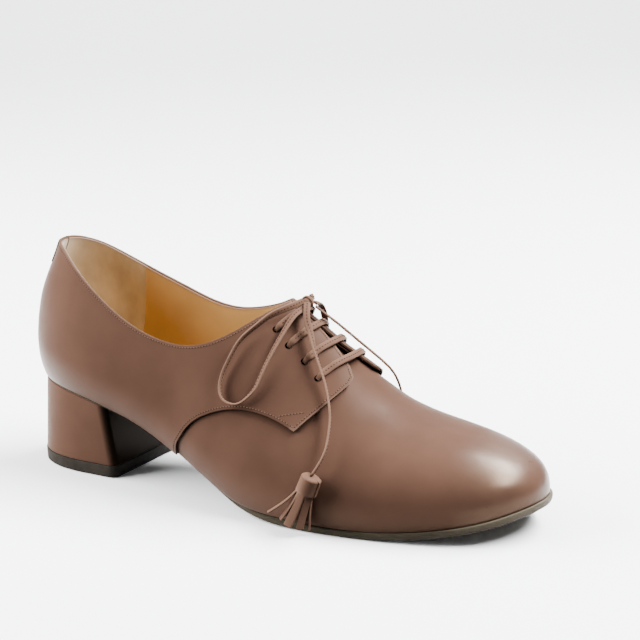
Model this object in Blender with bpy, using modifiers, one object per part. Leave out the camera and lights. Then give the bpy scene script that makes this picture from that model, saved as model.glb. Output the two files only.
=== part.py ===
"""Right heeled derby shoe: hollow upper, tongue, insole, sole, block heel and a bow lace with tassels.

The tables and functions work in millimetres, in the shoe's own axes: x runs forward from the back of the
heel, y towards the inner side of the foot and z up from the floor. A place on the upper is given by its
x and its climb, the angle around the section: 0 at the outer feather edge, 90 on the ridge and 180 at the
inner feather edge. Meshes are made in metres.
"""
import math

import bmesh
import bpy
import numpy as np
from mathutils import Matrix, Vector

MM = 0.001
GAP = 0.3               # clearance between pieces that touch

# Upper
LENGTH = 242.0          # feather edge, back of the heel to the tip of the toe
HEEL_RADIUS = 28.0      # plan radius that the swell and the back's curve work on
SWELL_HEIGHT = 23.0     # height of the fullest place of the wall above the feather edge
BACK_LEAN = 2.8         # how far the top of the back leans in over the heel
WALL = 1.8
FLAP_RISE = 1.3         # step from the vamp up to the quarter that lies over it
FLAP_LIFT = 1.2         # extra stand-off at the flap's free front
SEAM_START = 88.4       # where the quarter's lower edge leaves the sole
FLAP_POINT = 147.0      # lowest corner of the flap, and the front end of the throat
FLAP_FRONT = 158.6
THROAT_TOP = 124.6      # top corner of the facing
EYELET_RADIUS = 1.6
TONGUE_TOP, TONGUE_FRONT, TONGUE_SPREAD = 126.0, 164.0, 22.0
TONGUE_THICK = 1.4

# Bottom
SOLE_THICK, WAIST_THICK = 3.2, 1.1
SEAT_THICK = 0.8        # sole under the heel seat
INSOLE_THICK = 2.0
TOP_PIECE = 5.4
HEEL_BACK, HEEL_BREAST, HEEL_HALF = 1.0, 51.2, 26.3    # heel outline on the floor
HEEL_ROUND, HEEL_POWER = 34.0, 2.3                     # length and squareness of its rounded back
BREAST_TOP = 47.0
BREAST_CORNER = 3.8     # radius of the upright corners at the breast

# Lace
LACE_WIDE, LACE_THICK = 3.2, 1.4
BAR_BOW = 4.6           # how far a bar bends forward at the ridge
CORD_RADIUS = 1.0
KNOT = (6.0, 6.4, 4.4)
KNOT_PLACE = (130.0, 90.0, 6.0)                        # x, climb and clearance of its middle
SLEEVE_RADIUS, SLEEVE_TALL, SLEEVE_TILT = 4.3, 7.6, 20.0
STRIPS = 8
STRIP_WIDE, STRIP_THICK, STRIP_LONG, STRIP_SPLAY = 3.0, 1.4, 16.0, 16.0


def table(columns, *rows):
    """Named columns of a table that has one row for each section or point."""
    return {name: [row[k] for row in rows] for k, name in enumerate(columns)}


# centre: middle of the sole, half: half its width, feather: height of its edge, rise: ridge above the edge,
# lean: shift of the ridge to the inner side, swell: bulge of the walls, full: squareness of the section
LAST = table(
    ("x", "centre", "half", "feather", "rise", "lean", "swell", "full"),
    (0, 0.0, 0.0, 39.8, 85.0, 0.0, 4.0, 2.0),
    (12, 0.0, 19.5, 39.2, 86.0, 0.0, 4.0, 2.0),
    (28, 0.0, 26.4, 37.6, 88.0, 0.0, 4.8, 2.0),
    (46, -0.3, 28.6, 34.5, 89.7, 0.0, 5.2, 2.0),
    (68, -1.7, 28.2, 28.5, 88.5, 2.0, 4.8, 2.0),
    (95, -3.6, 28.9, 16.4, 87.4, 4.0, 4.0, 1.92),
    (120, -4.2, 34.2, 6.1, 80.8, 5.0, 3.2, 1.76),
    (146, -2.0, 39.8, 3.8, 64.0, 5.0, 2.1, 1.66),
    (169, 1.0, 41.3, 3.2, 44.7, 4.2, 1.6, 2.1),
    (193, 3.2, 39.0, 4.4, 34.4, 3.2, 1.0, 2.45),
    (213, 4.8, 33.8, 7.1, 27.9, 2.1, 0.5, 2.55),
    (229.5, 5.8, 25.0, 10.8, 19.1, 1.0, 0.0, 2.6),
    (237.5, 6.3, 15.2, 13.2, 12.0, 0.5, 0.0, 2.6),
    (242, 6.4, 0.0, 14.8, 0.0, 0.0, 0.0, 2.6),
)
# Height of the collar's edge above the floor on the two sides
TOPLINE = table(
    ("x", "outer", "inner"),
    (0, 100.2, 100.2),
    (12, 99.4, 96.0),
    (24, 95.4, 90.2),
    (40, 86.6, 82.6),
    (56, 76.9, 76.8),
    (70, 70.6, 72.8),
    (86, 67.1, 71.6),
    (100, 68.6, 74.2),
    (112, 74.5, 78.4),
    (120, 80.3, 82.0),
    (124.6, 83.5, 83.5),
)
# Climb of the quarter's edge over the vamp: from the sole to the flap's point, then up the flap's front
SEAM = table(
    ("x", "climb"),
    (88.4, 0.0), (89.3, 3.0), (91.3, 6.4), (95.2, 11.4), (100.4, 17.1), (106.6, 22.4), (117, 29.8), (131.4, 36.2),
    (140.5, 37.6), (147, 37.5),
)
FLAP_EDGE = table(
    ("x", "climb"),
    (147, 37.5), (151.8, 46.0), (154.8, 53.2), (156.5, 59.2), (157.9, 66.0), (158.6, 71.5),
)
# Distance of the facing's edge from the ridge
THROAT = table(
    ("x", "half_gap"),
    (124.6, 0.9), (130, 1.1), (136, 1.4), (141.2, 2.1), (146, 3.5), (149.2, 4.7), (153, 6.3), (155.8, 7.7),
    (157.4, 8.9), (158.3, 10.7), (158.6, 13.0),
)
EYELETS = table(
    ("x", "climb"),
    (126.5, 66.0), (133.2, 63.8), (141, 63.0), (148.2, 61.2),
)
# Routes of the bow: x, climb and clearance from the last's skin
LOOP = table(
    ("x", "climb", "clear"),
    (129.2, 85.2, 7.0), (127.9, 78.8, 7.1), (125.8, 73.2, 6.8), (122.8, 67.0, 6.2), (119.5, 59.2, 5.6),
    (115.8, 51.2, 5.0), (113.8, 43.9, 4.5), (112.2, 36.6, 4.0), (112.5, 33.1, 3.9), (114.5, 31.4, 3.9),
    (118.5, 32.2, 3.9), (121.5, 33.8, 3.9), (124.5, 37.2, 3.9), (126.8, 41.2, 4.0), (127.8, 46.2, 4.3),
    (128.5, 52.0, 4.8), (129.2, 58.5, 5.4), (129.8, 66.5, 6.2), (130.2, 75.4, 6.6), (131.4, 85.2, 6.4),
)
END_OUTER = table(
    ("x", "climb", "clear"),
    (133.6, 86.2, 6.8), (135.3, 79.6, 6.9), (137.5, 74.0, 6.6), (141.2, 69.2, 6.4), (145.2, 65.2, 6.2),
    (149.0, 62.0, 6.1), (152.2, 59.2, 6.0), (155.4, 55.6, 5.7), (158.0, 52.0, 5.4), (159.8, 48.6, 5.0),
    (161.4, 43.8, 4.9), (162.9, 36.6, 5.2), (162.5, 29.8, 5.8), (161.2, 24.8, 6.6),
)
END_INNER = table(
    ("x", "climb", "clear"),
    (133.0, 92.0, 6.2), (137.0, 95.0, 5.8), (141.0, 99.0, 5.6), (145.0, 102.8, 5.5), (149.0, 106.2, 5.5),
    (153.0, 109.8, 5.5), (156.2, 113.4, 5.4), (158.2, 118.0, 5.2), (159.2, 124.0, 5.0), (159.6, 131.0, 4.9),
    (159.6, 138.0, 4.9), (159.2, 144.6, 5.2), (158.4, 151.0, 6.1), (157.2, 156.4, 7.0),
)


def spline(xs, ys, at):
    """Smooth curve through the points (natural cubic), read at the given places."""
    xs, ys, at = np.asarray(xs, float), np.asarray(ys, float), np.asarray(at, float)
    count, step = len(xs), np.diff(xs)
    matrix, right = np.zeros((count, count)), np.zeros(count)
    matrix[0, 0] = matrix[-1, -1] = 1.0
    for i in range(1, count - 1):
        matrix[i, i - 1:i + 2] = step[i - 1], 2 * (step[i - 1] + step[i]), step[i]
        right[i] = 6 * ((ys[i + 1] - ys[i]) / step[i] - (ys[i] - ys[i - 1]) / step[i - 1])
    bend = np.linalg.solve(matrix, right)
    i = np.clip(np.searchsorted(xs, at) - 1, 0, count - 2)
    past, left, h = at - xs[i], xs[i + 1] - at, step[i]
    cubic = (bend[i] * left ** 3 + bend[i + 1] * past ** 3) / (6 * h)
    return cubic + (ys[i] / h - bend[i] * h / 6) * left + (ys[i + 1] / h - bend[i + 1] * h / 6) * past


def turn(x):
    """Angle along the length that makes both ends of the sole's outline round."""
    return np.arccos(np.clip(1 - 2 * np.asarray(x, float) / LENGTH, -1, 1))


def size(name, x):
    """One of the last's measures at x."""
    return spline(turn(LAST["x"]), LAST[name], turn(x))


def smooth(x, low, high):
    s = np.clip((np.asarray(x, float) - low) / (high - low), 0, 1)
    return s * s * (3 - 2 * s)


def last(x, climb):
    """Point on the last's skin."""
    x, climb = np.broadcast_arrays(np.asarray(x, float), np.radians(np.asarray(climb, float)))
    power = 2 / size("full", x)
    across = np.sign(np.cos(climb)) * np.abs(np.cos(climb)) ** power
    up = np.abs(np.sin(climb)) ** power
    height = size("rise", x) * up
    bulge = height / SWELL_HEIGHT
    swell = size("swell", x) * bulge * np.exp(1 - bulge) / HEEL_RADIUS
    widen = np.abs(across) + swell * np.sqrt(np.abs(across))
    y = size("centre", x) - np.sign(across) * size("half", x) * widen + size("lean", x) * up ** 2
    near_back = np.clip(1 - x / (1.6 * HEEL_RADIUS), 0, 1) ** 1.5
    z = size("feather", x) + height
    back = (1 - np.abs(across) - swell) * HEEL_RADIUS + BACK_LEAN * smooth(z, 74, 98)
    return np.stack([x + back * near_back, y, z], -1)


def skin(x, climb, level):
    """Point at a distance outside the last's skin (inside it where the level is negative)."""
    x, climb, level = np.broadcast_arrays(*(np.asarray(v, float) for v in (x, climb, level)))
    step, turn_step = 0.05, 0.2
    inside = np.clip(x, step, LENGTH - step)
    around = np.clip(climb, turn_step, 180 - turn_step)
    along_x = last(inside + step, around) - last(inside - step, around)
    along_climb = last(inside, around + turn_step) - last(inside, around - turn_step)
    normal = np.cross(along_x, along_climb)
    normal[x <= 0, 1] = 0
    normal[x >= LENGTH] = (1, 0, 0)
    normal /= np.linalg.norm(normal, axis=-1, keepdims=True)
    return last(x, climb) + level[..., None] * normal


def climb_at_height(x, z):
    share = np.clip((z - size("feather", x)) / np.maximum(size("rise", x), 1.0), 0, 1)
    return np.degrees(np.arcsin(share ** (size("full", x) / 2)))


def seam_climb(x):
    """Where the vamp's lower band ends: the quarter's edge, then a line that runs on to the toe."""
    behind = np.where(x <= SEAM_START, 0.0, spline(SEAM["x"], SEAM["climb"], x))
    front = spline(FLAP_EDGE["x"], FLAP_EDGE["climb"], np.clip(x, FLAP_POINT, FLAP_FRONT))
    onward = front - 14 * smooth(x, FLAP_FRONT, LENGTH)
    return np.where(x < FLAP_POINT, np.maximum(behind, 0), onward)


def edge_climb(x, side):
    """Upper edge of the quarter: the collar, then the facing's edge along the throat."""
    gap = spline(THROAT["x"], THROAT["half_gap"], np.clip(x, THROAT_TOP, FLAP_FRONT))
    facing = np.degrees(np.arccos(gap / np.maximum(size("half", x), 12)))
    collar = climb_at_height(x, spline(TOPLINE["x"], TOPLINE[side], np.minimum(x, THROAT_TOP)))
    edge = np.where(x < THROAT_TOP, np.minimum(collar, facing), facing)
    return np.where(x >= FLAP_FRONT, seam_climb(x), edge)


def quarter_level(x):
    step = FLAP_RISE * smooth(x, 40, 100) + FLAP_LIFT * smooth(x, 144, FLAP_FRONT - 2)
    return np.where(x < FLAP_FRONT, step, 0.0)


def stations(low, high, count):
    """Places along x, closer together towards the round ends."""
    return LENGTH * (1 - np.cos(np.linspace(turn(low), turn(high), count + 1))) / 2


def new_material(name, colour, roughness):
    material = bpy.data.materials.new(name)
    material.use_nodes = True
    shader = material.node_tree.nodes["Principled BSDF"]
    shader.inputs["Base Color"].default_value = (*colour, 1.0)
    shader.inputs["Roughness"].default_value = roughness
    return material


def clear_scene():
    for item in list(bpy.data.objects):
        bpy.data.objects.remove(item, do_unlink=True)


def new_collection(name):
    collection = bpy.data.collections.new(name)
    bpy.context.scene.collection.children.link(collection)
    return collection


def object_from(name, mesh, collection, material=None):
    item = bpy.data.objects.new(name, mesh)
    collection.objects.link(item)
    if material:
        mesh.materials.append(material)
    return item


def solid(name, collection, material, points, faces):
    """Closed mesh from points in millimetres; places that coincide are welded."""
    mesh = bpy.data.meshes.new(name)
    shape = bmesh.new()
    corners = [shape.verts.new(Vector(point) * MM) for point in points]
    for face in faces:
        shape.faces.new([corners[k] for k in face])
    bmesh.ops.remove_doubles(shape, verts=shape.verts, dist=0.00001)
    bmesh.ops.dissolve_degenerate(shape, edges=shape.edges, dist=0.000005)
    bmesh.ops.recalc_face_normals(shape, faces=shape.faces)
    shape.to_mesh(mesh)
    shape.free()
    mesh.shade_smooth()
    mesh.set_sharp_from_angle(angle=math.radians(40))
    return object_from(name, mesh, collection, material)


def slab(name, collection, material, top, bottom):
    """Plate between two outlines, each given as pairs of an outer-side and an inner-side point."""
    count = len(top)
    points = np.concatenate([top[:, 0], top[:, 1], bottom[:, 0], bottom[:, 1]])
    top_out, top_in, low_out, low_in = (np.arange(count) + k * count for k in range(4))
    faces = []
    for i in range(count - 1):
        j = i + 1
        faces.append((top_out[i], top_out[j], top_in[j], top_in[i]))
        faces.append((low_out[i], low_in[i], low_in[j], low_out[j]))
        faces.append((top_out[i], low_out[i], low_out[j], top_out[j]))
        faces.append((top_in[i], top_in[j], low_in[j], low_in[i]))
    for i in (0, count - 1):
        faces.append((top_out[i], top_in[i], low_in[i], low_out[i]))
    return solid(name, collection, material, points, faces)


def bevel(item, width, segments=2):
    modifier = item.modifiers.new("Rounded edges", "BEVEL")
    modifier.width = width * MM
    modifier.segments = segments
    modifier.limit_method = "ANGLE"
    modifier.angle_limit = math.radians(50)


def plan(x, side, grow):
    """Sole outline, moved outwards in plan; side is -1 outside and 1 inside."""
    inner = np.clip(x, 0.02, LENGTH - 0.02)
    edge = size("centre", x) + side * size("half", x)
    ahead = size("centre", inner + 0.01) + side * size("half", inner + 0.01)
    behind = size("centre", inner - 0.01) + side * size("half", inner - 0.01)
    slope = (ahead - behind) / 0.02
    normal = np.stack([-side * slope, np.full_like(slope, side)], -1) / np.hypot(slope, 1)[:, None]
    normal[x <= 0] = (-1, 0)
    normal[x >= LENGTH] = (1, 0)
    grow = np.broadcast_to(grow, x.shape)
    return np.stack([x, edge], -1) + grow[:, None] * normal


def outline_pairs(x, grow, height):
    """Pairs of outline points with the height worked out from each point's own x."""
    pairs = []
    for side in (-1, 1):
        flat = plan(x, side, grow)
        pairs.append(np.column_stack([flat, height(np.clip(flat[:, 0], 0, LENGTH))]))
    return np.stack(pairs, 1)


def sole_top(x):
    return size("feather", x) - GAP


def sole_bottom(x):
    waist = SEAT_THICK + (WAIST_THICK - SEAT_THICK) * smooth(x, 46, 72)
    thick = waist + (SOLE_THICK - WAIST_THICK) * smooth(x, 100, 146)
    return np.maximum(sole_top(x) - thick, 0.0)


def add_outsole(collection, material):
    x = stations(0, LENGTH, 56)
    proud = -0.6 - 0.9 * smooth(x, 50, 75) + 1.9 * smooth(x, 105, 150) + 0.8 * smooth(x, 170, 225)
    top = outline_pairs(x, proud, sole_top)
    bottom = outline_pairs(x, proud - 0.4, sole_bottom)
    return slab("outsole", collection, material, top, bottom)


def heel_places(back, breast, count):
    """Places along the heel, close together at its round back and at the breast's corners."""
    corner = breast - BREAST_CORNER
    run = back + (corner - back) * (1 - np.cos(np.linspace(0, math.pi / 2, count)))
    return np.concatenate([run, corner + BREAST_CORNER * np.sin(np.linspace(0, math.pi / 2, 5)[1:])])


def corner_inset(x, breast):
    """How far the rounded corner at the breast draws the side in."""
    past = np.clip(x - breast + BREAST_CORNER, 0, BREAST_CORNER)
    return BREAST_CORNER - np.sqrt(BREAST_CORNER ** 2 - past ** 2)


def heel_outline(count):
    """Floor outline of the heel: a rounded back that runs into straight sides."""
    x = heel_places(HEEL_BACK, HEEL_BREAST, count)
    round_part = np.clip(1 - (x - HEEL_BACK) / HEEL_ROUND, 0, 1)
    y = HEEL_HALF * (1 - round_part ** HEEL_POWER) ** (1 / HEEL_POWER)
    return x, y - corner_inset(x, HEEL_BREAST)


def floor_pairs(count, inset, z):
    x, y = heel_outline(count)
    middle = (HEEL_BACK + HEEL_BREAST) / 2
    x = middle + (x - middle) * (1 - 2 * inset / (HEEL_BREAST - HEEL_BACK))
    y = y * (1 - inset / HEEL_HALF)
    level = np.full_like(x, z)
    return np.stack([np.column_stack([x, -y, level]), np.column_stack([x, y, level])], 1)


def add_heel(collection, material):
    count = 14
    x = heel_places(0.0, BREAST_TOP, count)
    top = outline_pairs(x, -0.7, lambda at: sole_bottom(at) - GAP)
    top[:, :, 1] += corner_inset(x, BREAST_TOP)[:, None] * np.array([1, -1])
    bottom = floor_pairs(count, 0.3, TOP_PIECE + GAP)
    heel = slab("heel", collection, material, top, bottom)
    bevel(heel, 0.6)
    return heel


def add_top_piece(collection, material):
    top = floor_pairs(14, 0.0, TOP_PIECE)
    bottom = floor_pairs(14, 0.3, 0.0)
    return slab("top_piece", collection, material, top, bottom)


def add_insole(collection, material):
    x = stations(0, LENGTH, 40)
    inset = -(WALL + 0.9)
    top = outline_pairs(x, inset, lambda at: size("feather", at) + GAP + INSOLE_THICK)
    bottom = outline_pairs(x, inset, lambda at: size("feather", at) + GAP)
    return slab("insole", collection, material, top, bottom)


def upper_stations():
    runs = (
        stations(0, SEAM_START, 16),
        stations(SEAM_START, THROAT_TOP, 10),
        stations(THROAT_TOP, FLAP_POINT, 7),
        stations(FLAP_POINT, FLAP_FRONT - 0.3, 6),
        stations(FLAP_FRONT, LENGTH, 15),
    )
    return np.unique(np.concatenate(runs).round(6))


def upper_side(x, side):
    """Grid of one side: climb and level of each row in each station, from the feather edge upwards."""
    low, high = seam_climb(x), edge_climb(x, side)
    end = np.where(x < FLAP_POINT - 1e-6, high, 90.0)
    vamp = low[:, None] * np.linspace(0, 1, 8)
    quarter = low[:, None] + (high - low)[:, None] * np.linspace(0, 1, 12)
    front = high[:, None] + (end - high)[:, None] * np.linspace(0, 1, 4)
    climb = np.concatenate([vamp, quarter, front], 1)
    level = np.zeros_like(climb)
    level[:, 8:20] = quarter_level(x)[:, None]
    behind = x < FLAP_POINT - 1e-6
    level[behind, 20:] = quarter_level(x)[behind, None]
    return (climb if side == "outer" else 180 - climb), level


def add_upper(collection, material):
    x = upper_stations()
    columns = len(x)
    points, faces = [], []
    for side in ("outer", "inner"):
        climb, level = upper_side(x, side)
        rows = climb.shape[1]
        place = np.broadcast_to(x[:, None], climb.shape)
        start = len(points)
        points.extend(skin(place, climb, level).reshape(-1, 3))
        points.extend(skin(place, climb, np.full_like(level, -WALL)).reshape(-1, 3))
        out = start + np.arange(columns * rows).reshape(columns, rows)
        inn = out + columns * rows
        for i in range(columns - 1):
            for j in range(rows - 1):
                faces.append((out[i, j], out[i + 1, j], out[i + 1, j + 1], out[i, j + 1]))
                faces.append((inn[i, j], inn[i, j + 1], inn[i + 1, j + 1], inn[i + 1, j]))
            faces.append((out[i, 0], inn[i, 0], inn[i + 1, 0], out[i + 1, 0]))
            if x[i] < FLAP_POINT - 1e-6:
                faces.append((out[i, -1], out[i + 1, -1], inn[i + 1, -1], inn[i, -1]))
    return solid("upper", collection, material, points, faces)


def eyelet_places(side):
    x = np.array(EYELETS["x"])
    climb = np.array(EYELETS["climb"])
    return x, climb if side == "outer" else 180 - climb


def cut_eyelets(upper, helpers):
    """Punched holes, square to the skin, through the facings."""
    mesh = bpy.data.meshes.new("eyelet_cutters")
    shape = bmesh.new()
    for side in ("outer", "inner"):
        x, climb = eyelet_places(side)
        for low, high in zip(skin(x, climb, -6.0), skin(x, climb, 8.0)):
            axis = Vector(high - low)
            turned = axis.to_track_quat("Z", "Y").to_matrix().to_4x4()
            place = Matrix.Translation(Vector((low + high) / 2) * MM) @ turned
            radius = EYELET_RADIUS * MM
            bmesh.ops.create_cone(shape, cap_ends=True, segments=10, radius1=radius, radius2=radius,
                                  depth=axis.length * MM, matrix=place)
    shape.to_mesh(mesh)
    shape.free()
    cutter = object_from("eyelet_cutters", mesh, helpers)
    cutter.hide_render = True
    cutter.display_type = "WIRE"
    modifier = upper.modifiers.new("Eyelets", "BOOLEAN")
    modifier.operation = "DIFFERENCE"
    modifier.object = cutter


def grid_solid(name, collection, material, top, bottom):
    """Closed sheet between two grids of points."""
    columns, rows = top.shape[:2]
    points = np.concatenate([top.reshape(-1, 3), bottom.reshape(-1, 3)])
    out = np.arange(columns * rows).reshape(columns, rows)
    inn = out + columns * rows
    faces = []
    for i in range(columns - 1):
        for j in range(rows - 1):
            faces.append((out[i, j], out[i + 1, j], out[i + 1, j + 1], out[i, j + 1]))
            faces.append((inn[i, j], inn[i, j + 1], inn[i + 1, j + 1], inn[i + 1, j]))
        for j in (0, rows - 1):
            faces.append((out[i, j], inn[i, j], inn[i + 1, j], out[i + 1, j]))
    for j in range(rows - 1):
        for i in (0, columns - 1):
            faces.append((out[i, j], out[i, j + 1], inn[i, j + 1], inn[i, j]))
    return solid(name, collection, material, points, faces)


def add_tongue(collection, material):
    x = np.linspace(TONGUE_TOP, TONGUE_FRONT, 13)
    ends = np.abs(2 * (x - TONGUE_TOP) / (TONGUE_FRONT - TONGUE_TOP) - 1)
    spread = TONGUE_SPREAD * (1 - 0.35 * ends ** 6)
    climb = 90 + spread[:, None] * np.linspace(-1, 1, 13)
    place = np.broadcast_to(x[:, None], climb.shape)
    level = np.full_like(climb, -(WALL + GAP + 0.1))
    return grid_solid("tongue", collection, material, skin(place, climb, level),
                      skin(place, climb, level - TONGUE_THICK))


def add_lace_bar(number, collection, material):
    """Flat bar of lace from an eyelet over both facings to the eyelet opposite."""
    x, climb = EYELETS["x"][number - 1], EYELETS["climb"][number - 1]
    around = np.linspace(climb + 5, 175 - climb, 13)
    bow = BAR_BOW * np.cos(np.radians(90 * (around - 90) / (90 - climb)))
    across = np.array([-0.5, 0.5]) * LACE_WIDE
    place = x + bow[:, None] + across
    turned = np.broadcast_to(around[:, None], place.shape)
    level = np.broadcast_to(quarter_level(x + bow + LACE_WIDE / 2)[:, None] + GAP + 0.1, place.shape)
    bar = grid_solid("lace_bar_%d" % number, collection, material, skin(place, turned, level + LACE_THICK),
                     skin(place, turned, level))
    return bar


def route(rows, mirrored=False):
    """Smooth route of a cord through its table's points."""
    climb = np.array(rows["climb"], float)
    if mirrored:
        climb = 180 - climb
    points = skin(np.array(rows["x"], float), climb, np.array(rows["clear"], float))
    run = np.concatenate([[0], np.cumsum(np.linalg.norm(np.diff(points, axis=0), axis=1))])
    at = np.linspace(0, run[-1], int(run[-1] / 5) + 1)
    return np.stack([spline(run, points[:, k], at) for k in range(3)], -1)


def add_cord(name, collection, material, points):
    curve = bpy.data.curves.new(name, "CURVE")
    curve.dimensions = "3D"
    curve.bevel_depth = CORD_RADIUS * MM
    curve.bevel_resolution = 2
    curve.use_fill_caps = True
    line = curve.splines.new("POLY")
    line.points.add(len(points) - 1)
    for item, point in zip(line.points, points):
        item.co = (*(point * MM), 1.0)
    return object_from(name, curve, collection, material)


def add_knot(collection, material):
    mesh = bpy.data.meshes.new("lace_knot")
    shape = bmesh.new()
    bmesh.ops.create_cube(shape, size=1.0)
    slope = math.atan2(float(last(127, 90)[2] - last(136, 90)[2]), 9.0)
    place = Matrix.Translation(Vector(skin(*KNOT_PLACE)) * MM) @ Matrix.Rotation(slope, 4, "Y")
    scale = Matrix.Diagonal((*(k * MM for k in KNOT), 1.0))
    bmesh.ops.transform(shape, matrix=place @ scale, verts=shape.verts)
    shape.to_mesh(mesh)
    shape.free()
    mesh.shade_smooth()
    knot = object_from("lace_knot", mesh, collection, material)
    modifier = knot.modifiers.new("Rounded edges", "BEVEL")
    modifier.width = 1.6 * MM
    modifier.segments = 3
    return knot


def tassel_frame(cord_points, side):
    """Frame on the cord's end: z runs down the tassel, which swings back a little, and y faces outwards."""
    tilt = math.radians(SLEEVE_TILT)
    down = Vector((-math.sin(tilt), 0.06 * side, -math.cos(tilt))).normalized()
    across = Vector((0, side, 0)).cross(down).normalized()
    outwards = down.cross(across)
    turned = Matrix((across, outwards, down)).transposed().to_4x4()
    top = Vector(cord_points[-1]) + down * (GAP + 0.5 * CORD_RADIUS)
    return Matrix.Translation(top * MM) @ turned


def add_tassel(name, collection, helpers, material, frame):
    """Rolled sleeve on the lace's end with a ring of cut strips that spread below it."""
    mesh = bpy.data.meshes.new(name)
    shape = bmesh.new()
    middle = frame @ Matrix.Translation((0, 0, SLEEVE_TALL / 2 * MM))
    bmesh.ops.create_cone(shape, cap_ends=True, segments=16, radius1=SLEEVE_RADIUS * 0.92 * MM,
                          radius2=SLEEVE_RADIUS * MM, depth=SLEEVE_TALL * MM, matrix=middle)
    shape.to_mesh(mesh)
    shape.free()
    tassel = object_from(name, mesh, collection, material)
    strips = object_from(name + "_strips", strip_ring(name + "_strips", frame), helpers)
    strips.hide_render = True
    strips.display_type = "WIRE"
    modifier = tassel.modifiers.new("Strips", "BOOLEAN")
    modifier.operation = "UNION"
    modifier.use_self = True
    modifier.object = strips
    return tassel


def strip_ring(name, frame):
    """Strips around the sleeve's mouth, splayed on the side that faces away from the shoe."""
    mesh = bpy.data.meshes.new(name)
    shape = bmesh.new()
    for k in range(STRIPS):
        angle = 2 * math.pi * (k + 0.5) / STRIPS
        away = 0.5 + 0.5 * math.sin(angle)
        spin = Matrix.Rotation(angle, 4, "Z")
        splay = Matrix.Rotation(math.radians(STRIP_SPLAY * away), 4, "Y")
        out = Vector((SLEEVE_RADIUS - 2.2 + 0.9 * (k % 2) * away, 0, SLEEVE_TALL - 1.2 - 0.3 * (k % 3)))
        drop = Matrix.Translation((0, 0, STRIP_LONG / 2 * MM))
        scale = Matrix.Diagonal((STRIP_THICK * MM, STRIP_WIDE * MM, STRIP_LONG * MM, 1.0))
        place = frame @ spin @ Matrix.Translation(out * MM) @ splay @ drop @ scale
        bmesh.ops.create_cube(shape, size=1.0, matrix=place)
    shape.to_mesh(mesh)
    shape.free()
    return mesh


def centre_on_origin(parts, others):
    """Parent everything to one empty that puts the middle of the shoe's base on the origin."""
    bpy.context.view_layer.update()
    graph = bpy.context.evaluated_depsgraph_get()
    corners = []
    for item in parts:
        mesh = item.evaluated_get(graph).to_mesh()
        corners.extend(vertex.co.copy() for vertex in mesh.vertices)
    low = [min(corner[k] for corner in corners) for k in range(3)]
    high = [max(corner[k] for corner in corners) for k in range(3)]
    shoe = bpy.data.objects.new("shoe", None)
    bpy.context.scene.collection.objects.link(shoe)
    shoe.location = (-(low[0] + high[0]) / 2, -(low[1] + high[1]) / 2, -low[2])
    for item in parts + others:
        item.parent = shoe


def main():
    clear_scene()
    pieces = new_collection("heeled_derby_shoe")
    helpers = new_collection("helpers")
    leather = new_material("upper_leather", (0.17, 0.095, 0.075), 0.42)
    heel_leather = new_material("heel_leather", (0.16, 0.09, 0.07), 0.42)
    lining = new_material("tan_lining", (0.55, 0.33, 0.13), 0.6)
    sole_edge = new_material("sole_edge", (0.055, 0.042, 0.03), 0.55)
    rubber = new_material("top_piece_rubber", (0.03, 0.026, 0.024), 0.7)
    strap = new_material("lace_leather", (0.26, 0.15, 0.11), 0.55)

    upper = add_upper(pieces, leather)
    cut_eyelets(upper, helpers)
    parts = [
        upper,
        add_outsole(pieces, sole_edge),
        add_heel(pieces, heel_leather),
        add_top_piece(pieces, rubber),
        add_insole(pieces, lining),
        add_tongue(pieces, leather),
    ]
    parts += [add_lace_bar(number, pieces, strap) for number in range(1, len(EYELETS["x"]) + 1)]

    ends = {"lateral": route(END_OUTER), "medial": route(END_INNER)}
    loops = {"lateral": route(LOOP), "medial": route(LOOP, mirrored=True)}
    cords = [add_knot(pieces, strap)]
    for side, points in loops.items():
        cords.append(add_cord("lace_loop_" + side, pieces, strap, points))
    for side, points in ends.items():
        cords.append(add_cord("lace_end_" + side, pieces, strap, points))
        frame = tassel_frame(points, -1 if side == "lateral" else 1)
        cords.append(add_tassel("tassel_" + side, pieces, helpers, strap, frame))
    centre_on_origin(parts, cords + list(helpers.objects))


main()
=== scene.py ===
"""Heeled derby shoe, dressed: leather panels, lining, stitching, flat laces with a bow and tassels.

The tables and functions work in millimetres, in the shoe's own axes: x runs forward from the back of the
heel, y towards the inner side of the foot and z up from the floor. A place on the upper is given by its
x and its climb, the angle around the section: 0 at the outer feather edge, 90 on the ridge and 180 at the
inner feather edge. Meshes are made in metres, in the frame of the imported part.
"""
import math

import bpy
import numpy as np
from mathutils import Matrix, Vector


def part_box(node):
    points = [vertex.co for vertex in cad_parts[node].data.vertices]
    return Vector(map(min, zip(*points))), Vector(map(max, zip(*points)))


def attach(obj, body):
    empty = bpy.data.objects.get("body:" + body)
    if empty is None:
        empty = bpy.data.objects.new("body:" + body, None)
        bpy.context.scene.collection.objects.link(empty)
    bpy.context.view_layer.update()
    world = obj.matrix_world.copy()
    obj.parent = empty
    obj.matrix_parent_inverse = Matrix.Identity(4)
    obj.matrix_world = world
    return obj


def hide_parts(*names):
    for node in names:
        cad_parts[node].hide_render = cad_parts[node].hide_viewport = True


bl_info = {
    "name": "Heeled Derby Shoe",
    "version": (1, 0, 0),
    "blender": (4, 5, 0),
    "location": "3D View > Sidebar > Shoe",
    "description": "Dresses a heeled derby shoe with leather panels, stitching, laces and tassels",
    "category": "Object",
}

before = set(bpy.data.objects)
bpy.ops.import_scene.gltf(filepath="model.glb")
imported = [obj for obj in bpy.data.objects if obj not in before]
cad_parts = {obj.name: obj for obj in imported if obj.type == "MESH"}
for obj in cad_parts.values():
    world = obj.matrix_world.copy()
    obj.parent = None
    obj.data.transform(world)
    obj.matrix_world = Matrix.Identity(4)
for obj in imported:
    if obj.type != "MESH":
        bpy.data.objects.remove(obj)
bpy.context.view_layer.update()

MM = 0.001
BODY = "root"
SIDES = {"lateral": "outer", "medial": "inner"}

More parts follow.
